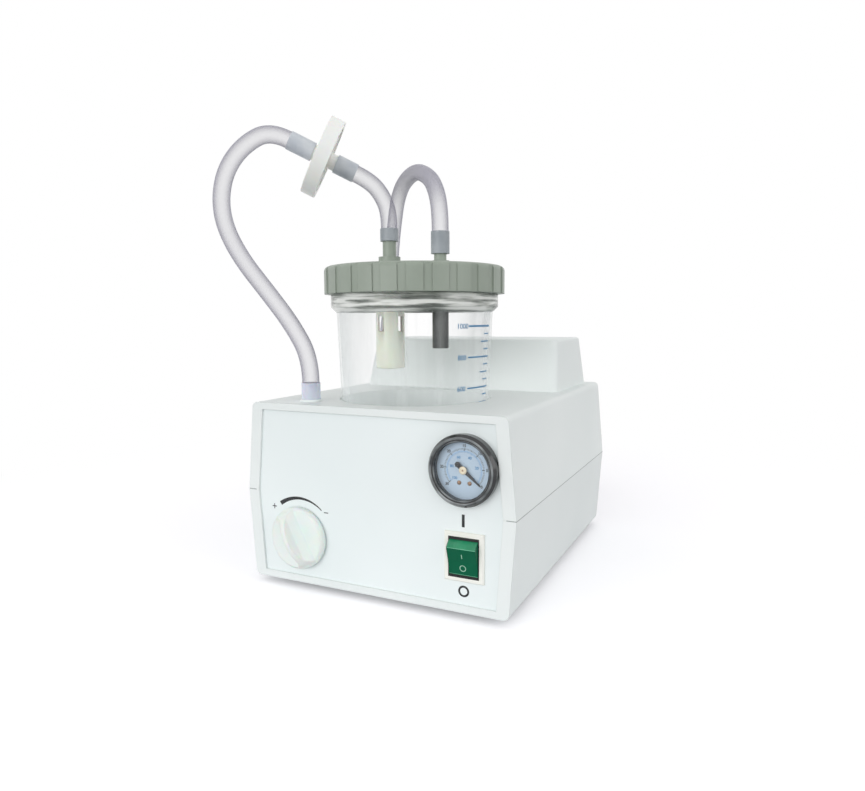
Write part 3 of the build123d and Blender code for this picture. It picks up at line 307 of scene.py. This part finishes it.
def paint_cad():
    """Every CAD node takes the material of its slot, but for a few that look different in the photo."""
    slots = {row["node"]: row["material_slot"] for row in frame["record"]["subparts"]}
    special = {
        "switch_housing": "frame_white",
        # The filter sleeves take the lighter copy of the sleeve material, which is painted light
        "filter_inlet_sleeve": "sleeve_painted_lit",
        "filter_outlet_sleeve": "sleeve_painted_lit",
        "casing_inlet": "white_abs",
        "float_seal": "float_grey",
    }
    for name, obj in frame["nodes"].items():
        finish = special.get(name, slots[name])
        obj.data.materials.clear()
        obj.data.materials.append(materials[finish].material)


paint_cad()


# Pieces
def mesh_piece(name, points, faces, finish, slot, body="casing", smooth=True):
    """A mesh from points in millimetres, which rides on a body."""
    mesh = bpy.data.meshes.new(name)
    mesh.from_pydata([Vector(p) * MM for p in points], [], faces)
    mesh.update()
    tidy = bmesh.new()
    tidy.from_mesh(mesh)
    bmesh.ops.remove_doubles(tidy, verts=tidy.verts, dist=1e-7)
    bmesh.ops.recalc_face_normals(tidy, faces=tidy.faces)
    tidy.to_mesh(mesh)
    tidy.free()
    for face in mesh.polygons:
        face.use_smooth = smooth
    obj = bpy.data.objects.new(name, mesh)
    scene.collection.objects.link(obj)
    mesh.materials.append(materials[finish].material)
    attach(obj, body)
    return obj


def printed(name, shape, place, finish, slot, body="casing"):
    """A flat-shaded mark or sheet, put in its place."""
    return mesh_piece(name, *moved(shape, place), finish, slot, body, False)


def joined(parts):
    """Points and faces of several (points, faces) shapes as one."""
    points, faces = [], []
    for some_points, some_faces in parts:
        offset = len(points)
        points.extend(some_points)
        faces.extend(tuple(i + offset for i in face) for face in some_faces)
    return points, faces


def strip(line, low, high, closed=False):
    """A thin band from low to high: line has (left, right) pairs of flat points (u, v)."""
    points, faces = [], []
    for left, right in line:
        points += [(*left, low), (*right, low), (*left, high), (*right, high)]
    count = len(line)
    for i in range(count if closed else count - 1):
        a, b = 4 * i, 4 * ((i + 1) % count)
        faces += [(a, b, b + 1, a + 1), (a + 2, a + 3, b + 3, b + 2)]
        faces += [(a, a + 2, b + 2, b), (a + 1, b + 1, b + 3, a + 3)]
    if not closed:
        end = 4 * (count - 1)
        faces += [(0, 1, 3, 2), (end, end + 2, end + 3, end + 1)]
    return points, faces


def bar(u0, v0, u1, v1, width, low, high):
    """A straight mark between two flat points."""
    du, dv = u1 - u0, v1 - v0
    length = sqrt(du * du + dv * dv)
    nu, nv = -dv / length * width / 2, du / length * width / 2
    start = ((u0 + nu, v0 + nv), (u0 - nu, v0 - nv))
    end = ((u1 + nu, v1 + nv), (u1 - nu, v1 - nv))
    return strip([start, end], low, high)


def arc(radius, start, stop, widths, low, high, steps=48):
    """An arc about the origin, angles in degrees; its width runs from widths[0] to widths[1]."""
    whole_turn = stop - start == 360
    line = []
    for i in range(steps if whole_turn else steps + 1):
        share = i / steps
        angle = radians(start + (stop - start) * share)
        half = (widths[0] + (widths[1] - widths[0]) * share) / 2
        u, v = cos(angle), sin(angle)
        line.append((((radius + half) * u, (radius + half) * v), ((radius - half) * u, (radius - half) * v)))
    return strip(line, low, high, whole_turn)


def moved(shape, place):
    """A shape whose points (u, v, w) are put through a function."""
    points, faces = shape
    return [place(*p) for p in points], faces


def digits(text, height, low, high, weight=0.0):
    """Numbers as a flat shape, centred on the origin."""
    data = bpy.data.curves.new("digits", "FONT")
    data.body = text
    data.size = 1.0
    data.align_x = "CENTER"
    data.resolution_u = 3
    data.extrude = 0.5
    data.offset = weight
    obj = bpy.data.objects.new("digits", data)
    scene.collection.objects.link(obj)
    bpy.context.view_layer.update()
    mesh = bpy.data.meshes.new_from_object(obj)
    top = max(v.co.y for v in mesh.vertices)
    bottom = min(v.co.y for v in mesh.vertices)
    size = height / (top - bottom)
    middle = (top + bottom) / 2
    points = [(v.co.x * size, (v.co.y - middle) * size, low if v.co.z < 0 else high) for v in mesh.vertices]
    faces = [tuple(p.vertices) for p in mesh.polygons]
    bpy.data.objects.remove(obj)
    bpy.data.curves.remove(data)
    bpy.data.meshes.remove(mesh)
    return points, faces


def turned(profile, segments=64):
    """Points and faces of a closed solid of revolution about w, from (radius, height) pairs."""
    points, faces, rings = [], [], []
    for radius, height in profile:
        if radius < 1e-6:
            rings.append([len(points)] * segments)
            points.append((0, 0, height))
        else:
            rings.append(list(range(len(points), len(points) + segments)))
            points += [
                (radius * cos(2 * pi * i / segments), radius * sin(2 * pi * i / segments), height)
                for i in range(segments)
            ]
    closed = rings + [rings[0]] if profile[0][0] > 1e-6 else rings
    for one, two in zip(closed, closed[1:]):
        for i in range(segments):
            j = (i + 1) % segments
            corners = []
            for corner in (one[i], one[j], two[j], two[i]):
                if corner not in corners:
                    corners.append(corner)
            if len(corners) > 2:
                faces.append(tuple(corners))
    return points, faces


def at(shape, u, v):
    """A shape shifted in its own plane."""
    points, faces = shape
    return [(p[0] + u, p[1] + v, p[2]) for p in points], faces


# Hoses: their routes repeat the solids' ones
HOSE = 12.0
HOSE_1 = [
    (-59, -100, 142), (-59, -100, 159), (-71, -103, 182), (-87, -109, 205), (-104, -115, 228),
    (-115, -118.5, 250), (-117.5, -119.5, 270), (-113, -117.5, 290), (-102, -111.5, 306),
    (-86.35, -102.25, 315.9), (-76.2, -94.6, 310),
]
HOSE_2 = [
    (-39.806, -67.192, 288.917), (-31.1, -60.64, 283.88), (-25.5, -53.5, 274),
    (-23, -49, 262.5), (-23, -49, 251.5),
]
HOSE_3 = [
    (18, -49, 247.3), (18, -49, 260), (14, -46, 276), (3, -35, 289), (-19, -15, 299), (-45, 8, 291),
    (-58, 22, 262), (-67, 33, 232), (-77, 47, 198), (-92, 66, 167), (-109, 80, 136),
    (-117, 87, 100), (-119, 92, 64), (-118, 100, 34), (-112, 118, 14), (-100, 145, 6),
    (-91, 170, 6), (-88, 198, 6),
]
COIL_CENTRE = (-20.0, 222.0)
COIL_RADIUS = 68.0
COIL_ENTRY = 180.0
COIL_SWEEP = 760.0
COIL_STEP = 20.0
CLIMB_STARTS = (290, 650)
CLIMB = 70


def eased(value):
    """0 up to 0, 1 from 1 on, with a smooth rise between."""
    value = min(max(value, 0), 1)
    return value * value * (3 - 2 * value)


def coil_points():
    """Turns of the put-away hose, clockwise seen from above; each turn climbs onto the one below."""
    points = []
    for i in range(int(COIL_SWEEP / COIL_STEP) + 1):
        turn = i * COIL_STEP
        angle = radians(COIL_ENTRY - turn)
        height = HOSE / 2 + HOSE * sum(eased((turn - start) / CLIMB) for start in CLIMB_STARTS)
        u, v = COIL_RADIUS * cos(angle), COIL_RADIUS * sin(angle)
        points.append((COIL_CENTRE[0] + u, COIL_CENTRE[1] + v, height))
    return points


def hose(name, route):
    """A round curve through the control points of a route."""
    data = bpy.data.curves.new(name, "CURVE")
    data.dimensions = "3D"
    spline = data.splines.new("NURBS")
    spline.points.add(len(route) - 1)
    for point, place in zip(spline.points, route):
        point.co = (*(Vector(place) * MM), 1)
    spline.order_u = 3
    spline.use_endpoint_u = True
    spline.resolution_u = 8
    spline.use_smooth = True
    data.bevel_depth = HOSE / 2 * MM
    data.bevel_resolution = 8
    data.use_fill_caps = True
    data.materials.append(materials["hose_clear"].material)
    obj = bpy.data.objects.new(name, data)
    scene.collection.objects.link(obj)
    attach(obj, "casing")
    return obj


line_to_filter = hose("hose_to_filter", HOSE_1)
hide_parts("hose_1")
line_to_cap = hose("hose_to_cap", HOSE_2)
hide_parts("hose_2")
suction_line = hose("suction_hose", HOSE_3 + coil_points())
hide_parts("hose_3", "hose_3_coil")


# Face of the gauge
GAUGE = (66.3, 94.9)
FRONT = -118.5
DIAL_TOP = 1.1
DIAL_START = -40.0
DIAL_SWEEP = 260.0
DIAL_PRINT = (-0.02, 0.05)
OUTER_TICKS = 60
OUTER_TICK_END = 13.4
OUTER_FIGURES = 14.9
INNER_TICKS = 50
INNER_TICK_END = 11.2
INNER_FIGURES = 8.4
FIGURE_HEIGHT = 1.9
FIGURE_WEIGHT = 0.03
DIAL_SCREWS = ((-3.3, -8.2, 20), (3.6, -8.2, -35))


def on_front(x, z, out=0.0):
    """Puts (u, v, w) on the front panel: u to the right, v up, w out of the panel."""
    return lambda u, v, w: (x + u, FRONT - out - w, z + v)


def dial_angle(step, steps):
    """Angle of one of the steps that the scale is divided into."""
    return radians(DIAL_START + DIAL_SWEEP * step / steps)


def tick(angle, inner, outer, width):
    """A radial line of the dial."""
    u, v = cos(angle), sin(angle)
    return bar(inner * u, inner * v, outer * u, outer * v, width, *DIAL_PRINT)


def figure(number, angle, radius):
    """A number of the dial."""
    shape = digits(str(number), FIGURE_HEIGHT, *DIAL_PRINT, FIGURE_WEIGHT)
    return at(shape, radius * cos(angle), radius * sin(angle))


def gauge_marks():
    place = on_front(*GAUGE, DIAL_TOP)
    black, blue, screws = [], [], []
    for i in range(OUTER_TICKS + 1):
        inner, width = (11.7, 0.5) if i % 10 == 0 else (12.1, 0.34) if i % 5 == 0 else (12.4, 0.26)
        black.append(tick(dial_angle(i, OUTER_TICKS), inner, OUTER_TICK_END, width))
    for i in range(7):
        black.append(figure(5 * i, dial_angle(i, 6), OUTER_FIGURES))
    for i in range(INNER_TICKS + 1):
        inner = 10.2 if i % 10 == 0 else 10.7
        blue.append(tick(dial_angle(i, INNER_TICKS), inner, INNER_TICK_END, 0.24))
    for i in range(6):
        blue.append(figure(20 * i, dial_angle(i, 5), INNER_FIGURES))
    printed("gauge_scale_outer", joined(black), place, "ink_black", "dial_blue")
    printed("gauge_scale_inner", joined(blue), place, "ink_blue", "dial_blue")
    ring = arc(11.5, DIAL_START, DIAL_START + DIAL_SWEEP, (0.5, 0.5), -0.02, 0.04, 96)
    printed("gauge_scale_band", ring, place, "ink_pale_blue", "dial_blue")
    for u, v, slot in DIAL_SCREWS:
        head = turned([(0, -0.05), (1.35, -0.05), (1.35, 0.25), (1.1, 0.5), (0.5, 0.62), (0, 0.64)], 24)
        screws.append(at(head, u, v))
        du, dv = cos(radians(slot)), sin(radians(slot))
        screws.append(bar(u - du, v - dv, u + du, v + dv, 0.3, 0.5, 0.68))
    mesh_piece("gauge_dial_screws", *moved(joined(screws), place), "screw_bronze", "steel")


def gauge_pointer():
    """Wide tail and turned hub over the CAD pointer, drawn where the pointer rests."""
    turn = radians(DIAL_START)
    low, high = 2.1, 2.9
    half_widths = [(-1.6, 0.9), (-4.6, 1.25), (-5.0, 1.9), (-6.6, 0.9)]
    points, faces = strip([((u, half), (u, -half)) for u, half in half_widths], low, high)
    points = [(u * cos(turn) - v * sin(turn), u * sin(turn) + v * cos(turn), w) for u, v, w in points]
    place = on_front(*GAUGE)
    printed("gauge_needle_tail", (points, faces), place, "needle_black", "needle_black", "needle")
    hub = turned([(0, 3.2), (2.5, 3.2), (2.5, 3.45), (2.15, 3.75), (1.2, 3.85), (1.0, 3.7), (0, 3.7)], 40)
    mesh_piece("gauge_needle_hub", *moved(hub, place), "hub_cream", "brass", "needle")
    pin = turned([(0, 3.6), (0.55, 3.6), (0.55, 3.9), (0.3, 4.0), (0, 4.0)], 20)
    mesh_piece("gauge_needle_pin", *moved(pin, place), "screw_bronze", "brass", "needle")


def gauge_lip():
    """Sloped inner edge of the bezel, painted grey with darker streaks for the light it mirrors: a painted
    reflection.
    """
    lip = turned([(17.7, 6.04), (18.5, 6.45), (19.6, 7.0), (20.3, 7.14), (20.9, 7.16), (21.0, 7.0)], 96)
    mesh_piece("gauge_bezel_lip_reflection", *moved(lip, on_front(*GAUGE)), "bezel_lip", "black_gloss")


gauge_marks()
gauge_pointer()
gauge_lip()


# Marks printed on the front panel
PANEL_PRINT = (-0.02, 0.06)
REGULATOR = (-57.5, 36.0)
SIGN_HEIGHT = 55.6


def panel_marks():
    low, high = PANEL_PRINT
    plus = [
        bar(-81.0, SIGN_HEIGHT, -77.4, SIGN_HEIGHT, 0.6, low, high),
        bar(-79.2, SIGN_HEIGHT - 1.8, -79.2, SIGN_HEIGHT + 1.8, 0.6, low, high),
    ]
    marks = {
        "mark_on": bar(65.2, 58.6, 65.2, 66.6, 1.9, low, high),
        "mark_off": at(arc(3.05, 0, 360, (1.3, 1.3), low, high, 64), 65.5, 17.6),
        "mark_flow": at(arc(27.4, 126, 49, (3.0, 0.6), low, high), *REGULATOR),
        "mark_plus": joined(plus),
        "mark_minus": bar(-37.6, SIGN_HEIGHT, -34.2, SIGN_HEIGHT, 0.6, low, high),
    }
    for name, shape in marks.items():
        printed(name, shape, on_front(0, 0), "ink_black", "panel_white")


panel_marks()


# Rocker switch: a dark sheet of painted shade in the gap round it, dark side, round ends painted lighter for
# the light on them, painted highlights on their crests, and marks on its two faces
SWITCH = (66.2, 39.8)
ROCKER_TILT = 14.0
ROCKER_VALLEY = 4.0
ROCKER_RISE = 7.6
ROCKER_AXIS = -3.5
ROCKER_RADIUS = 12.2
ROCKER_HALF_WIDTH = 9.5
ROCKER_CREST = 42.4
ROCKER_PRINT = (-0.02, 0.05)
ROCKER_END_BASE = 11.9
# Angles and reach of the painted light on the rocker's ends and of the painted highlights on its crests
LIT_END_ANGLES, LIT_END_STEPS, LIT_END_REACH = (11, 41.6), 10, 12.26
CREST_HIGHLIGHT_ANGLES, CREST_HIGHLIGHT_STEPS, CREST_HIGHLIGHT_REACH = (40.6, 42.6), 4, 12.31


def on_rocker(u, v, w):
    """Puts a point of the rocker's own frame, which starts at its pins, where the rocker rests."""
    tilt = radians(ROCKER_TILT)
    up = v * cos(tilt) - w * sin(tilt)
    out = v * sin(tilt) + w * cos(tilt)
    return SWITCH[0] + u, FRONT - (ROCKER_AXIS + out), SWITCH[1] + up


def on_rocker_face(side):
    """Puts (u, v, w) on the upper (1) or lower (-1) face, which rises from the valley."""
    lean = radians(side * ROCKER_VALLEY)
    return lambda u, v, w: on_rocker(
        u, v * cos(lean) - w * sin(lean), ROCKER_RISE + v * sin(lean) + w * cos(lean),
    )


def on_rocker_end(side):
    """Puts (u, angle, reach) on the round upper (1) or lower (-1) end."""
    return lambda u, angle, reach: on_rocker(
        u, side * reach * cos(radians(angle)), reach * sin(radians(angle)),
    )


def rocker_marks():
    low, high = ROCKER_PRINT
    on_mark = bar(0, 2.2, 0, 5.2, 0.5, low, high)
    printed("rocker_mark_on", on_mark, on_rocker_face(1), "ink_pale_green", "green_gloss", "rocker")
    off_mark = at(arc(1.9, 0, 360, (0.5, 0.5), low, high), 0, -4.6)
    printed("rocker_mark_off", off_mark, on_rocker_face(-1), "ink_pale_green", "green_gloss", "rocker")


def end_band(start, stop, steps, reach):
    """A thin band along the round end of the rocker, between two angles."""
    half = ROCKER_HALF_WIDTH - 0.05
    angles = [start + (stop - start) * i / steps for i in range(steps + 1)]
    return strip([((-half, angle), (half, angle)) for angle in angles], ROCKER_END_BASE, reach)


def rocker_ends():
    """Round ends of the rocker, painted lighter for the light that shines into them, and painted highlights
    along their crests.
    """
    shells, crests = [], []
    for side in (1, -1):
        shell = end_band(*LIT_END_ANGLES, LIT_END_STEPS, LIT_END_REACH)
        crest = end_band(*CREST_HIGHLIGHT_ANGLES, CREST_HIGHLIGHT_STEPS, CREST_HIGHLIGHT_REACH)
        shells.append(moved(shell, on_rocker_end(side)))
        crests.append(moved(crest, on_rocker_end(side)))
    mesh_piece("rocker_end_painted_light", *joined(shells), "green_light", "green_gloss", "rocker")
    mesh_piece("rocker_crest_highlights", *joined(crests), "green_bright", "green_gloss", "rocker")


def rocker_side():
    """Dark left side of the rocker."""
    steps, inner, outer = 5, -9.52, -9.75
    crest = radians(ROCKER_CREST)
    angles = [crest * i / steps for i in range(steps + 1)]
    end = [(ROCKER_RADIUS * cos(angle), ROCKER_RADIUS * sin(angle)) for angle in angles]
    outline = end + [(0, ROCKER_RISE)] + [(-v, w) for v, w in reversed(end)]
    outline += [(-ROCKER_END_BASE, -1.0), (ROCKER_END_BASE, -1.0)]
    count = len(outline)
    points = [on_rocker(u, v, w) for u in (outer, inner) for v, w in outline]
    faces = [tuple(range(count)), tuple(range(2 * count - 1, count - 1, -1))]
    faces += [(i, (i + 1) % count, (i + 1) % count + count, i + count) for i in range(count)]
    mesh_piece("rocker_side", points, faces, "side_black", "green_gloss", "rocker", False)


def switch_liner():
    """Dark sheet of painted shade in the gap between the rocker and its housing."""
    inner, outer = (9.78, 11.2), (10.3, 12.95)
    corners = [(1, 1), (-1, 1), (-1, -1), (1, -1)]
    line = [((x * outer[0], y * outer[1]), (x * inner[0], y * inner[1])) for x, y in corners]
    printed("switch_liner", strip(line, 1.2, 2.1, True), on_front(*SWITCH), "side_black", "cream_plastic")


rocker_marks()
rocker_ends()
rocker_side()
switch_liner()


# Graduations on the bottle
BOTTLE = (-2.5, -49.0)
BOTTLE_LOW, BOTTLE_HIGH = (61.0, 51.2), (191.0, 56.4)
MARK_STEP = 21.0
TOP_MARK = 181.2
BOTTLE_PRINT = (0.02, 0.12)
LONG_TICK = (-23, 4)
FIGURES_START = -28.5
WALL_RADIUS = 55


def on_bottle(height):
    """Wraps (u, v, w) round the bottle: u is an angle in degrees, v a height, w out of the wall."""
    slope = (BOTTLE_HIGH[1] - BOTTLE_LOW[1]) / (BOTTLE_HIGH[0] - BOTTLE_LOW[0])

    def place(u, v, w):
        z = height + v
        radius = BOTTLE_LOW[1] + slope * (z - BOTTLE_LOW[0]) + w
        return BOTTLE[0] + radius * cos(radians(u)), BOTTLE[1] + radius * sin(radians(u)), z

    return place


def graduation(start, stop, height, width):
    """A line round the wall between two angles."""
    steps = max(2, int((stop - start) / 2))
    angles = [start + (stop - start) * i / steps for i in range(steps + 1)]
    line = [((angle, width / 2), (angle, -width / 2)) for angle in angles]
    return moved(strip(line, *BOTTLE_PRINT), on_bottle(height))


def graduations():
    """Long lines with figures from 1000 down to 200 mL, and three short ones under each."""
    shapes = []
    degrees_per_mm = 360 / (2 * pi * WALL_RADIUS)
    for i in range(5):
        height = TOP_MARK - MARK_STEP * i
        shapes.append(graduation(*LONG_TICK, height, 1.3 if i == 0 else 1.0))
        points, faces = digits(str(1000 - 200 * i), 3.5, *BOTTLE_PRINT, 0.012)
        points = [(p[0] * degrees_per_mm + FIGURES_START, p[1], p[2]) for p in points]
        shapes.append(moved((points, faces), on_bottle(height)))
        for quarter in (1, 2, 3):
            start = -9 if quarter == 2 else -4.5
            shapes.append(graduation(start, 3, height - MARK_STEP * quarter / 4, 0.8))
    mesh_piece("bottle_scale", *joined(shapes), "scale_blue", "clear_bottle", smooth=False)


graduations()


# Thick collar under the neck of the bottle, where the clear wall's dark and bright streaks are painted
# reflections in its colour
def upright(shape, centre):
    """A turned shape stood on a vertical axis; its heights are heights of the object."""
    return moved(shape, lambda u, v, w: (centre[0] + u, centre[1] + v, w))


def let_light_by(piece):
    """A clear wall neither shades what is inside nor darkens itself."""
    piece.visible_shadow = False
    piece.visible_diffuse = False


def bottle_collar():
    """A thin skin over the collar of the solid, sloped below and straight above."""
    collar = turned([
        (56.5, 190.9), (57.3, 191.6), (60.15, 194.4), (60.2, 195.0), (60.2, 202.9), (59.9, 203.55),
        (59.2, 203.6), (59.7, 202.6), (59.8, 195.1), (56.4, 191.4),
    ], 128)
    ring = mesh_piece("bottle_collar", *upright(collar, BOTTLE), "flange_glass", "clear_bottle")
    let_light_by(ring)
    let_light_by(frame["nodes"]["bottle"])


bottle_collar()


# Float valve: a cage with four windows round the float, and the suction inlet tube
VALVE = (-23.0, -49.0)
INLET = (18.0, -49.0)
CAGE_WALL = 1.4
CAGE_RINGS = [
    (150.1, 10.3), (150.9, 10.6), (163.6, 10.6), (177.1, 10.6), (188.1, 10.6), (197.0, 10.6),
    (197.8, 11.4), (219.9, 11.4),
]
WINDOW_RING = 3
WINDOW_MIDDLES = (-12, 78, 168, 258)
CAGE_SEGMENTS = 90
WINDOW_HALF = 4


def valve_cage():
    """A tube with four windows, as a grid of rings whose cells are left out at the windows."""
    middles = [round(angle % 360 / 360 * CAGE_SEGMENTS) for angle in WINDOW_MIDDLES]
    last = len(CAGE_RINGS) - 1
    points, faces = [], []
    for height, radius in CAGE_RINGS:
        for reach in (radius, radius - CAGE_WALL):
            angles = [2 * pi * i / CAGE_SEGMENTS for i in range(CAGE_SEGMENTS)]
            points += [(reach * cos(angle), reach * sin(angle), height) for angle in angles]

    def corner(row, layer, i):
        return (2 * row + layer) * CAGE_SEGMENTS + i % CAGE_SEGMENTS

    def is_open(row, i):
        if row != WINDOW_RING:
            return False
        return any((i - middle + WINDOW_HALF) % CAGE_SEGMENTS < 2 * WINDOW_HALF for middle in middles)

    def across(row, i, next_row, j):
        """The wall's thickness between two of its grid points."""
        faces.append((corner(row, 0, i), corner(next_row, 0, j), corner(next_row, 1, j), corner(row, 1, i)))

    for i in range(CAGE_SEGMENTS):
        across(0, i, 0, i + 1)
        across(last, i, last, i + 1)
        for row in range(last):
            if not is_open(row, i):
                for layer in (0, 1):
                    faces.append((
                        corner(row, layer, i), corner(row, layer, i + 1),
                        corner(row + 1, layer, i + 1), corner(row + 1, layer, i),
                    ))
                continue
            across(row, i, row, i + 1)
            across(row + 1, i, row + 1, i + 1)
            for edge, beyond in ((i, i - 1), (i + 1, i + 1)):
                if not is_open(row, beyond):
                    across(row, edge, row + 1, edge)
    cage = mesh_piece("valve_cage", *upright((points, faces), VALVE), "cream_plastic", "cream_plastic")
    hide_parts("float_cage")


def valve_insides():
    """Seat at the top of the cage, ring at its foot, and the float between them."""
    seat = turned([(3.2, 208.1), (9.3, 208.1), (9.3, 210.1), (3.2, 210.1)], 48)
    floor_ring = turned([(6.1, 150.2), (9.3, 150.2), (9.3, 151.5), (6.1, 151.5)], 48)
    mesh_piece("valve_seat", *upright(joined([seat, floor_ring]), VALVE), "cream_plastic", "cream_plastic")
    body = turned([
        (0, 151.9), (7.9, 151.9), (8.4, 152.6), (8.4, 170.0),
        (7.6, 173.5), (3.6, 184.0), (3.2, 187.9), (0, 187.9),
    ], 48)
    piece = mesh_piece("valve_float", *upright(body, VALVE), "float_grey", "cream_plastic", "float")
    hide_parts("float_body")


def suction_tube():
    """Tube under the patient port, thinner than its solid."""
    tube = turned([(4.4, 165.6), (5.5, 165.2), (5.85, 165.6), (5.85, 219.9), (4.4, 219.9)], 48)
    piece = mesh_piece("inlet_tube_dark", *upright(tube, INLET), "tube_dark", "dark_plastic")
    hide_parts("inlet_tube")


valve_cage()
valve_insides()
suction_tube()


# Fine gap where the two shells of the case meet, along both sides and on the frames front and back
PARTING = 66.5
CASE_HALF = (100.0, 120.0)
FRAME_INSIDE = 93.7


def parting_gap():
    long_bar = bar(-CASE_HALF[1], PARTING, CASE_HALF[1], PARTING, 0.4, -0.6, 0.03)
    short_bar = bar(FRAME_INSIDE, PARTING, CASE_HALF[0], PARTING, 0.5, -0.3, 0.06)
    shapes = []
    for side in (1, -1):
        shapes.append(moved(long_bar, lambda u, v, w: (side * (CASE_HALF[0] + w), u, v)))
        for end in (1, -1):
            shapes.append(moved(short_bar, lambda u, v, w: (side * u, end * (CASE_HALF[1] + w), v)))
    mesh_piece("parting_gap", *joined(shapes), "gap_grey", "white_abs", smooth=False)


parting_gap()


# Tie round the coiled hose
TIE_HALF_WIDTH = 5
TIE_ANGLE = -60
FLOOR_CLEARANCE = 0.05


def coil_tie():
    """A band round the turns of hose that lie on each other."""
    inner, outer = HOSE / 2 - 0.3, HOSE / 2 + 0.4
    middle = COIL_RADIUS - 0.6
    along, out = sin(radians(TIE_ANGLE)), cos(radians(TIE_ANGLE))
    line = []
    for start, height in ((-180, HOSE / 2), (0, 1.5 * HOSE)):
        for step in range(11):
            u, v = cos(radians(start + 18 * step)), sin(radians(start + 18 * step))
            pair = [(reach * u, max(height + reach * v, FLOOR_CLEARANCE)) for reach in (outer, inner)]
            line.append(tuple(pair))

    def place(u, v, w):
        reach = middle + u
        return COIL_CENTRE[0] + reach * out - w * along, COIL_CENTRE[1] + reach * along + w * out, v

    band = strip(line, -TIE_HALF_WIDTH, TIE_HALF_WIDTH, True)
    mesh_piece("coil_tie", *moved(band, place), "tie_grey", "rubber_black")


coil_tie()


# Floor, light and background
HORIZON_LIGHT = 1.2
OVERHEAD_LIGHT = 0.56
FLOOR_GLOW = 0.09
FLOOR_TINT_FOR_LIGHT = (0.72, 0.72, 0.74, 1)
FLOOR_TINT_SEEN = (1.14, 1.13, 1.16, 1)
FLOOR_FADE_START, FLOOR_FADE_STOP = 0.1, 0.6
FLOOR_FADE_SCALE = (1.5, 1.5, 1.5)
FLOOR_RADIUS = 6.0
FLOOR_DROP = 0.0002


def is_shown(tree, path):
    """1 for the rays that bring a surface to the camera, also by way of clear and glossy pieces."""
    through = maths(tree, "MAXIMUM", path.outputs["Is Camera Ray"], path.outputs["Is Transmission Ray"])
    return maths(tree, "MAXIMUM", through, path.outputs["Is Glossy Ray"])


def floor_material():
    """Pale floor that takes the shadows near the part and runs out into white."""
    data = bpy.data.materials.new("floor")
    data.use_nodes = True
    tree = data.node_tree
    tree.nodes.clear()
    out = tree.nodes.new("ShaderNodeOutputMaterial")
    mix = tree.nodes.new("ShaderNodeMixShader")
    add = tree.nodes.new("ShaderNodeAddShader")
    diffuse = tree.nodes.new("ShaderNodeBsdfDiffuse")
    glow = tree.nodes.new("ShaderNodeEmission")
    white = tree.nodes.new("ShaderNodeEmission")
    place = tree.nodes.new("ShaderNodeTexCoord")
    mapping = tree.nodes.new("ShaderNodeMapping")
    mapping.inputs["Scale"].default_value = FLOOR_FADE_SCALE
    gradient = tree.nodes.new("ShaderNodeTexGradient")
    gradient.gradient_type = "SPHERICAL"
    tree.links.new(place.outputs["Object"], mapping.inputs["Vector"])
    tree.links.new(mapping.outputs["Vector"], gradient.inputs["Vector"])
    near = spread(tree, gradient.outputs["Fac"], 0.0, 1.0, FLOOR_FADE_START, FLOOR_FADE_STOP)
    near.interpolation_type = "SMOOTHSTEP"
    path = tree.nodes.new("ShaderNodeLightPath")
    shown = is_shown(tree, path)
    tree.links.new(maths(tree, "MULTIPLY", shown, FLOOR_GLOW), glow.inputs["Strength"])
    tree.links.new(shown, white.inputs["Strength"])
    tint = tree.nodes.new("ShaderNodeMix")
    tint.data_type = "RGBA"
    tint.inputs["A"].default_value = FLOOR_TINT_FOR_LIGHT
    tint.inputs["B"].default_value = FLOOR_TINT_SEEN
    tree.links.new(path.outputs["Is Camera Ray"], tint.inputs["Factor"])
    tree.links.new(tint.outputs["Result"], diffuse.inputs["Color"])
    tree.links.new(diffuse.outputs[0], add.inputs[0])
    tree.links.new(glow.outputs[0], add.inputs[1])
    tree.links.new(near.outputs[0], mix.inputs["Fac"])
    tree.links.new(white.outputs[0], mix.inputs[1])
    tree.links.new(add.outputs[0], mix.inputs[2])
    tree.links.new(mix.outputs[0], out.inputs["Surface"])
    return data


def add_floor():
    mesh = bpy.data.meshes.new("floor")
    shape = bmesh.new()
    bmesh.ops.create_circle(shape, cap_ends=True, segments=96, radius=FLOOR_RADIUS)
    shape.to_mesh(mesh)
    shape.free()
    mesh.materials.append(floor_material())
    floor = bpy.data.objects.new("floor", mesh)
    floor.location = (0, 0, -FLOOR_DROP)
    scene.collection.objects.link(floor)


def add_world():
    """White where it is shown; for the light, brighter at the horizon than overhead."""
    world = bpy.data.worlds.new("studio")
    world.use_nodes = True
    scene.world = world
    tree = world.node_tree
    back = tree.nodes["Background"]
    back.inputs["Color"].default_value = (1.0, 1.0, 1.0, 1)
    shown = is_shown(tree, tree.nodes.new("ShaderNodeLightPath"))
    place = tree.nodes.new("ShaderNodeTexCoord")
    axes = tree.nodes.new("ShaderNodeSeparateXYZ")
    tree.links.new(place.outputs["Generated"], axes.inputs["Vector"])
    sky = spread(tree, axes.outputs["Z"], HORIZON_LIGHT, OVERHEAD_LIGHT)
    light = maths(tree, "MULTIPLY", sky.outputs["Result"], maths(tree, "SUBTRACT", 1.0, shown))
    tree.links.new(maths(tree, "ADD", light, shown), back.inputs["Strength"])


def lamp(name, place, size, power):
    """A soft lamp aimed at the middle of the part."""
    target = (0, 0, 0.1)
    data = bpy.data.lights.new(name, "AREA")
    data.shape = "RECTANGLE"
    data.size, data.size_y = size
    data.energy = power
    obj = bpy.data.objects.new(name, data)
    aim = Vector(target) - Vector(place)
    obj.matrix_world = Matrix.Translation(place) @ aim.to_track_quat("-Z", "Y").to_matrix().to_4x4()
    scene.collection.objects.link(obj)


add_floor()
add_world()
lamp("front_light", (-0.35, -1.6, 0.4), (1.2, 0.8), 7.5)
lamp("right_light", (1.5, -0.4, 0.5), (0.8, 0.8), 2.5)
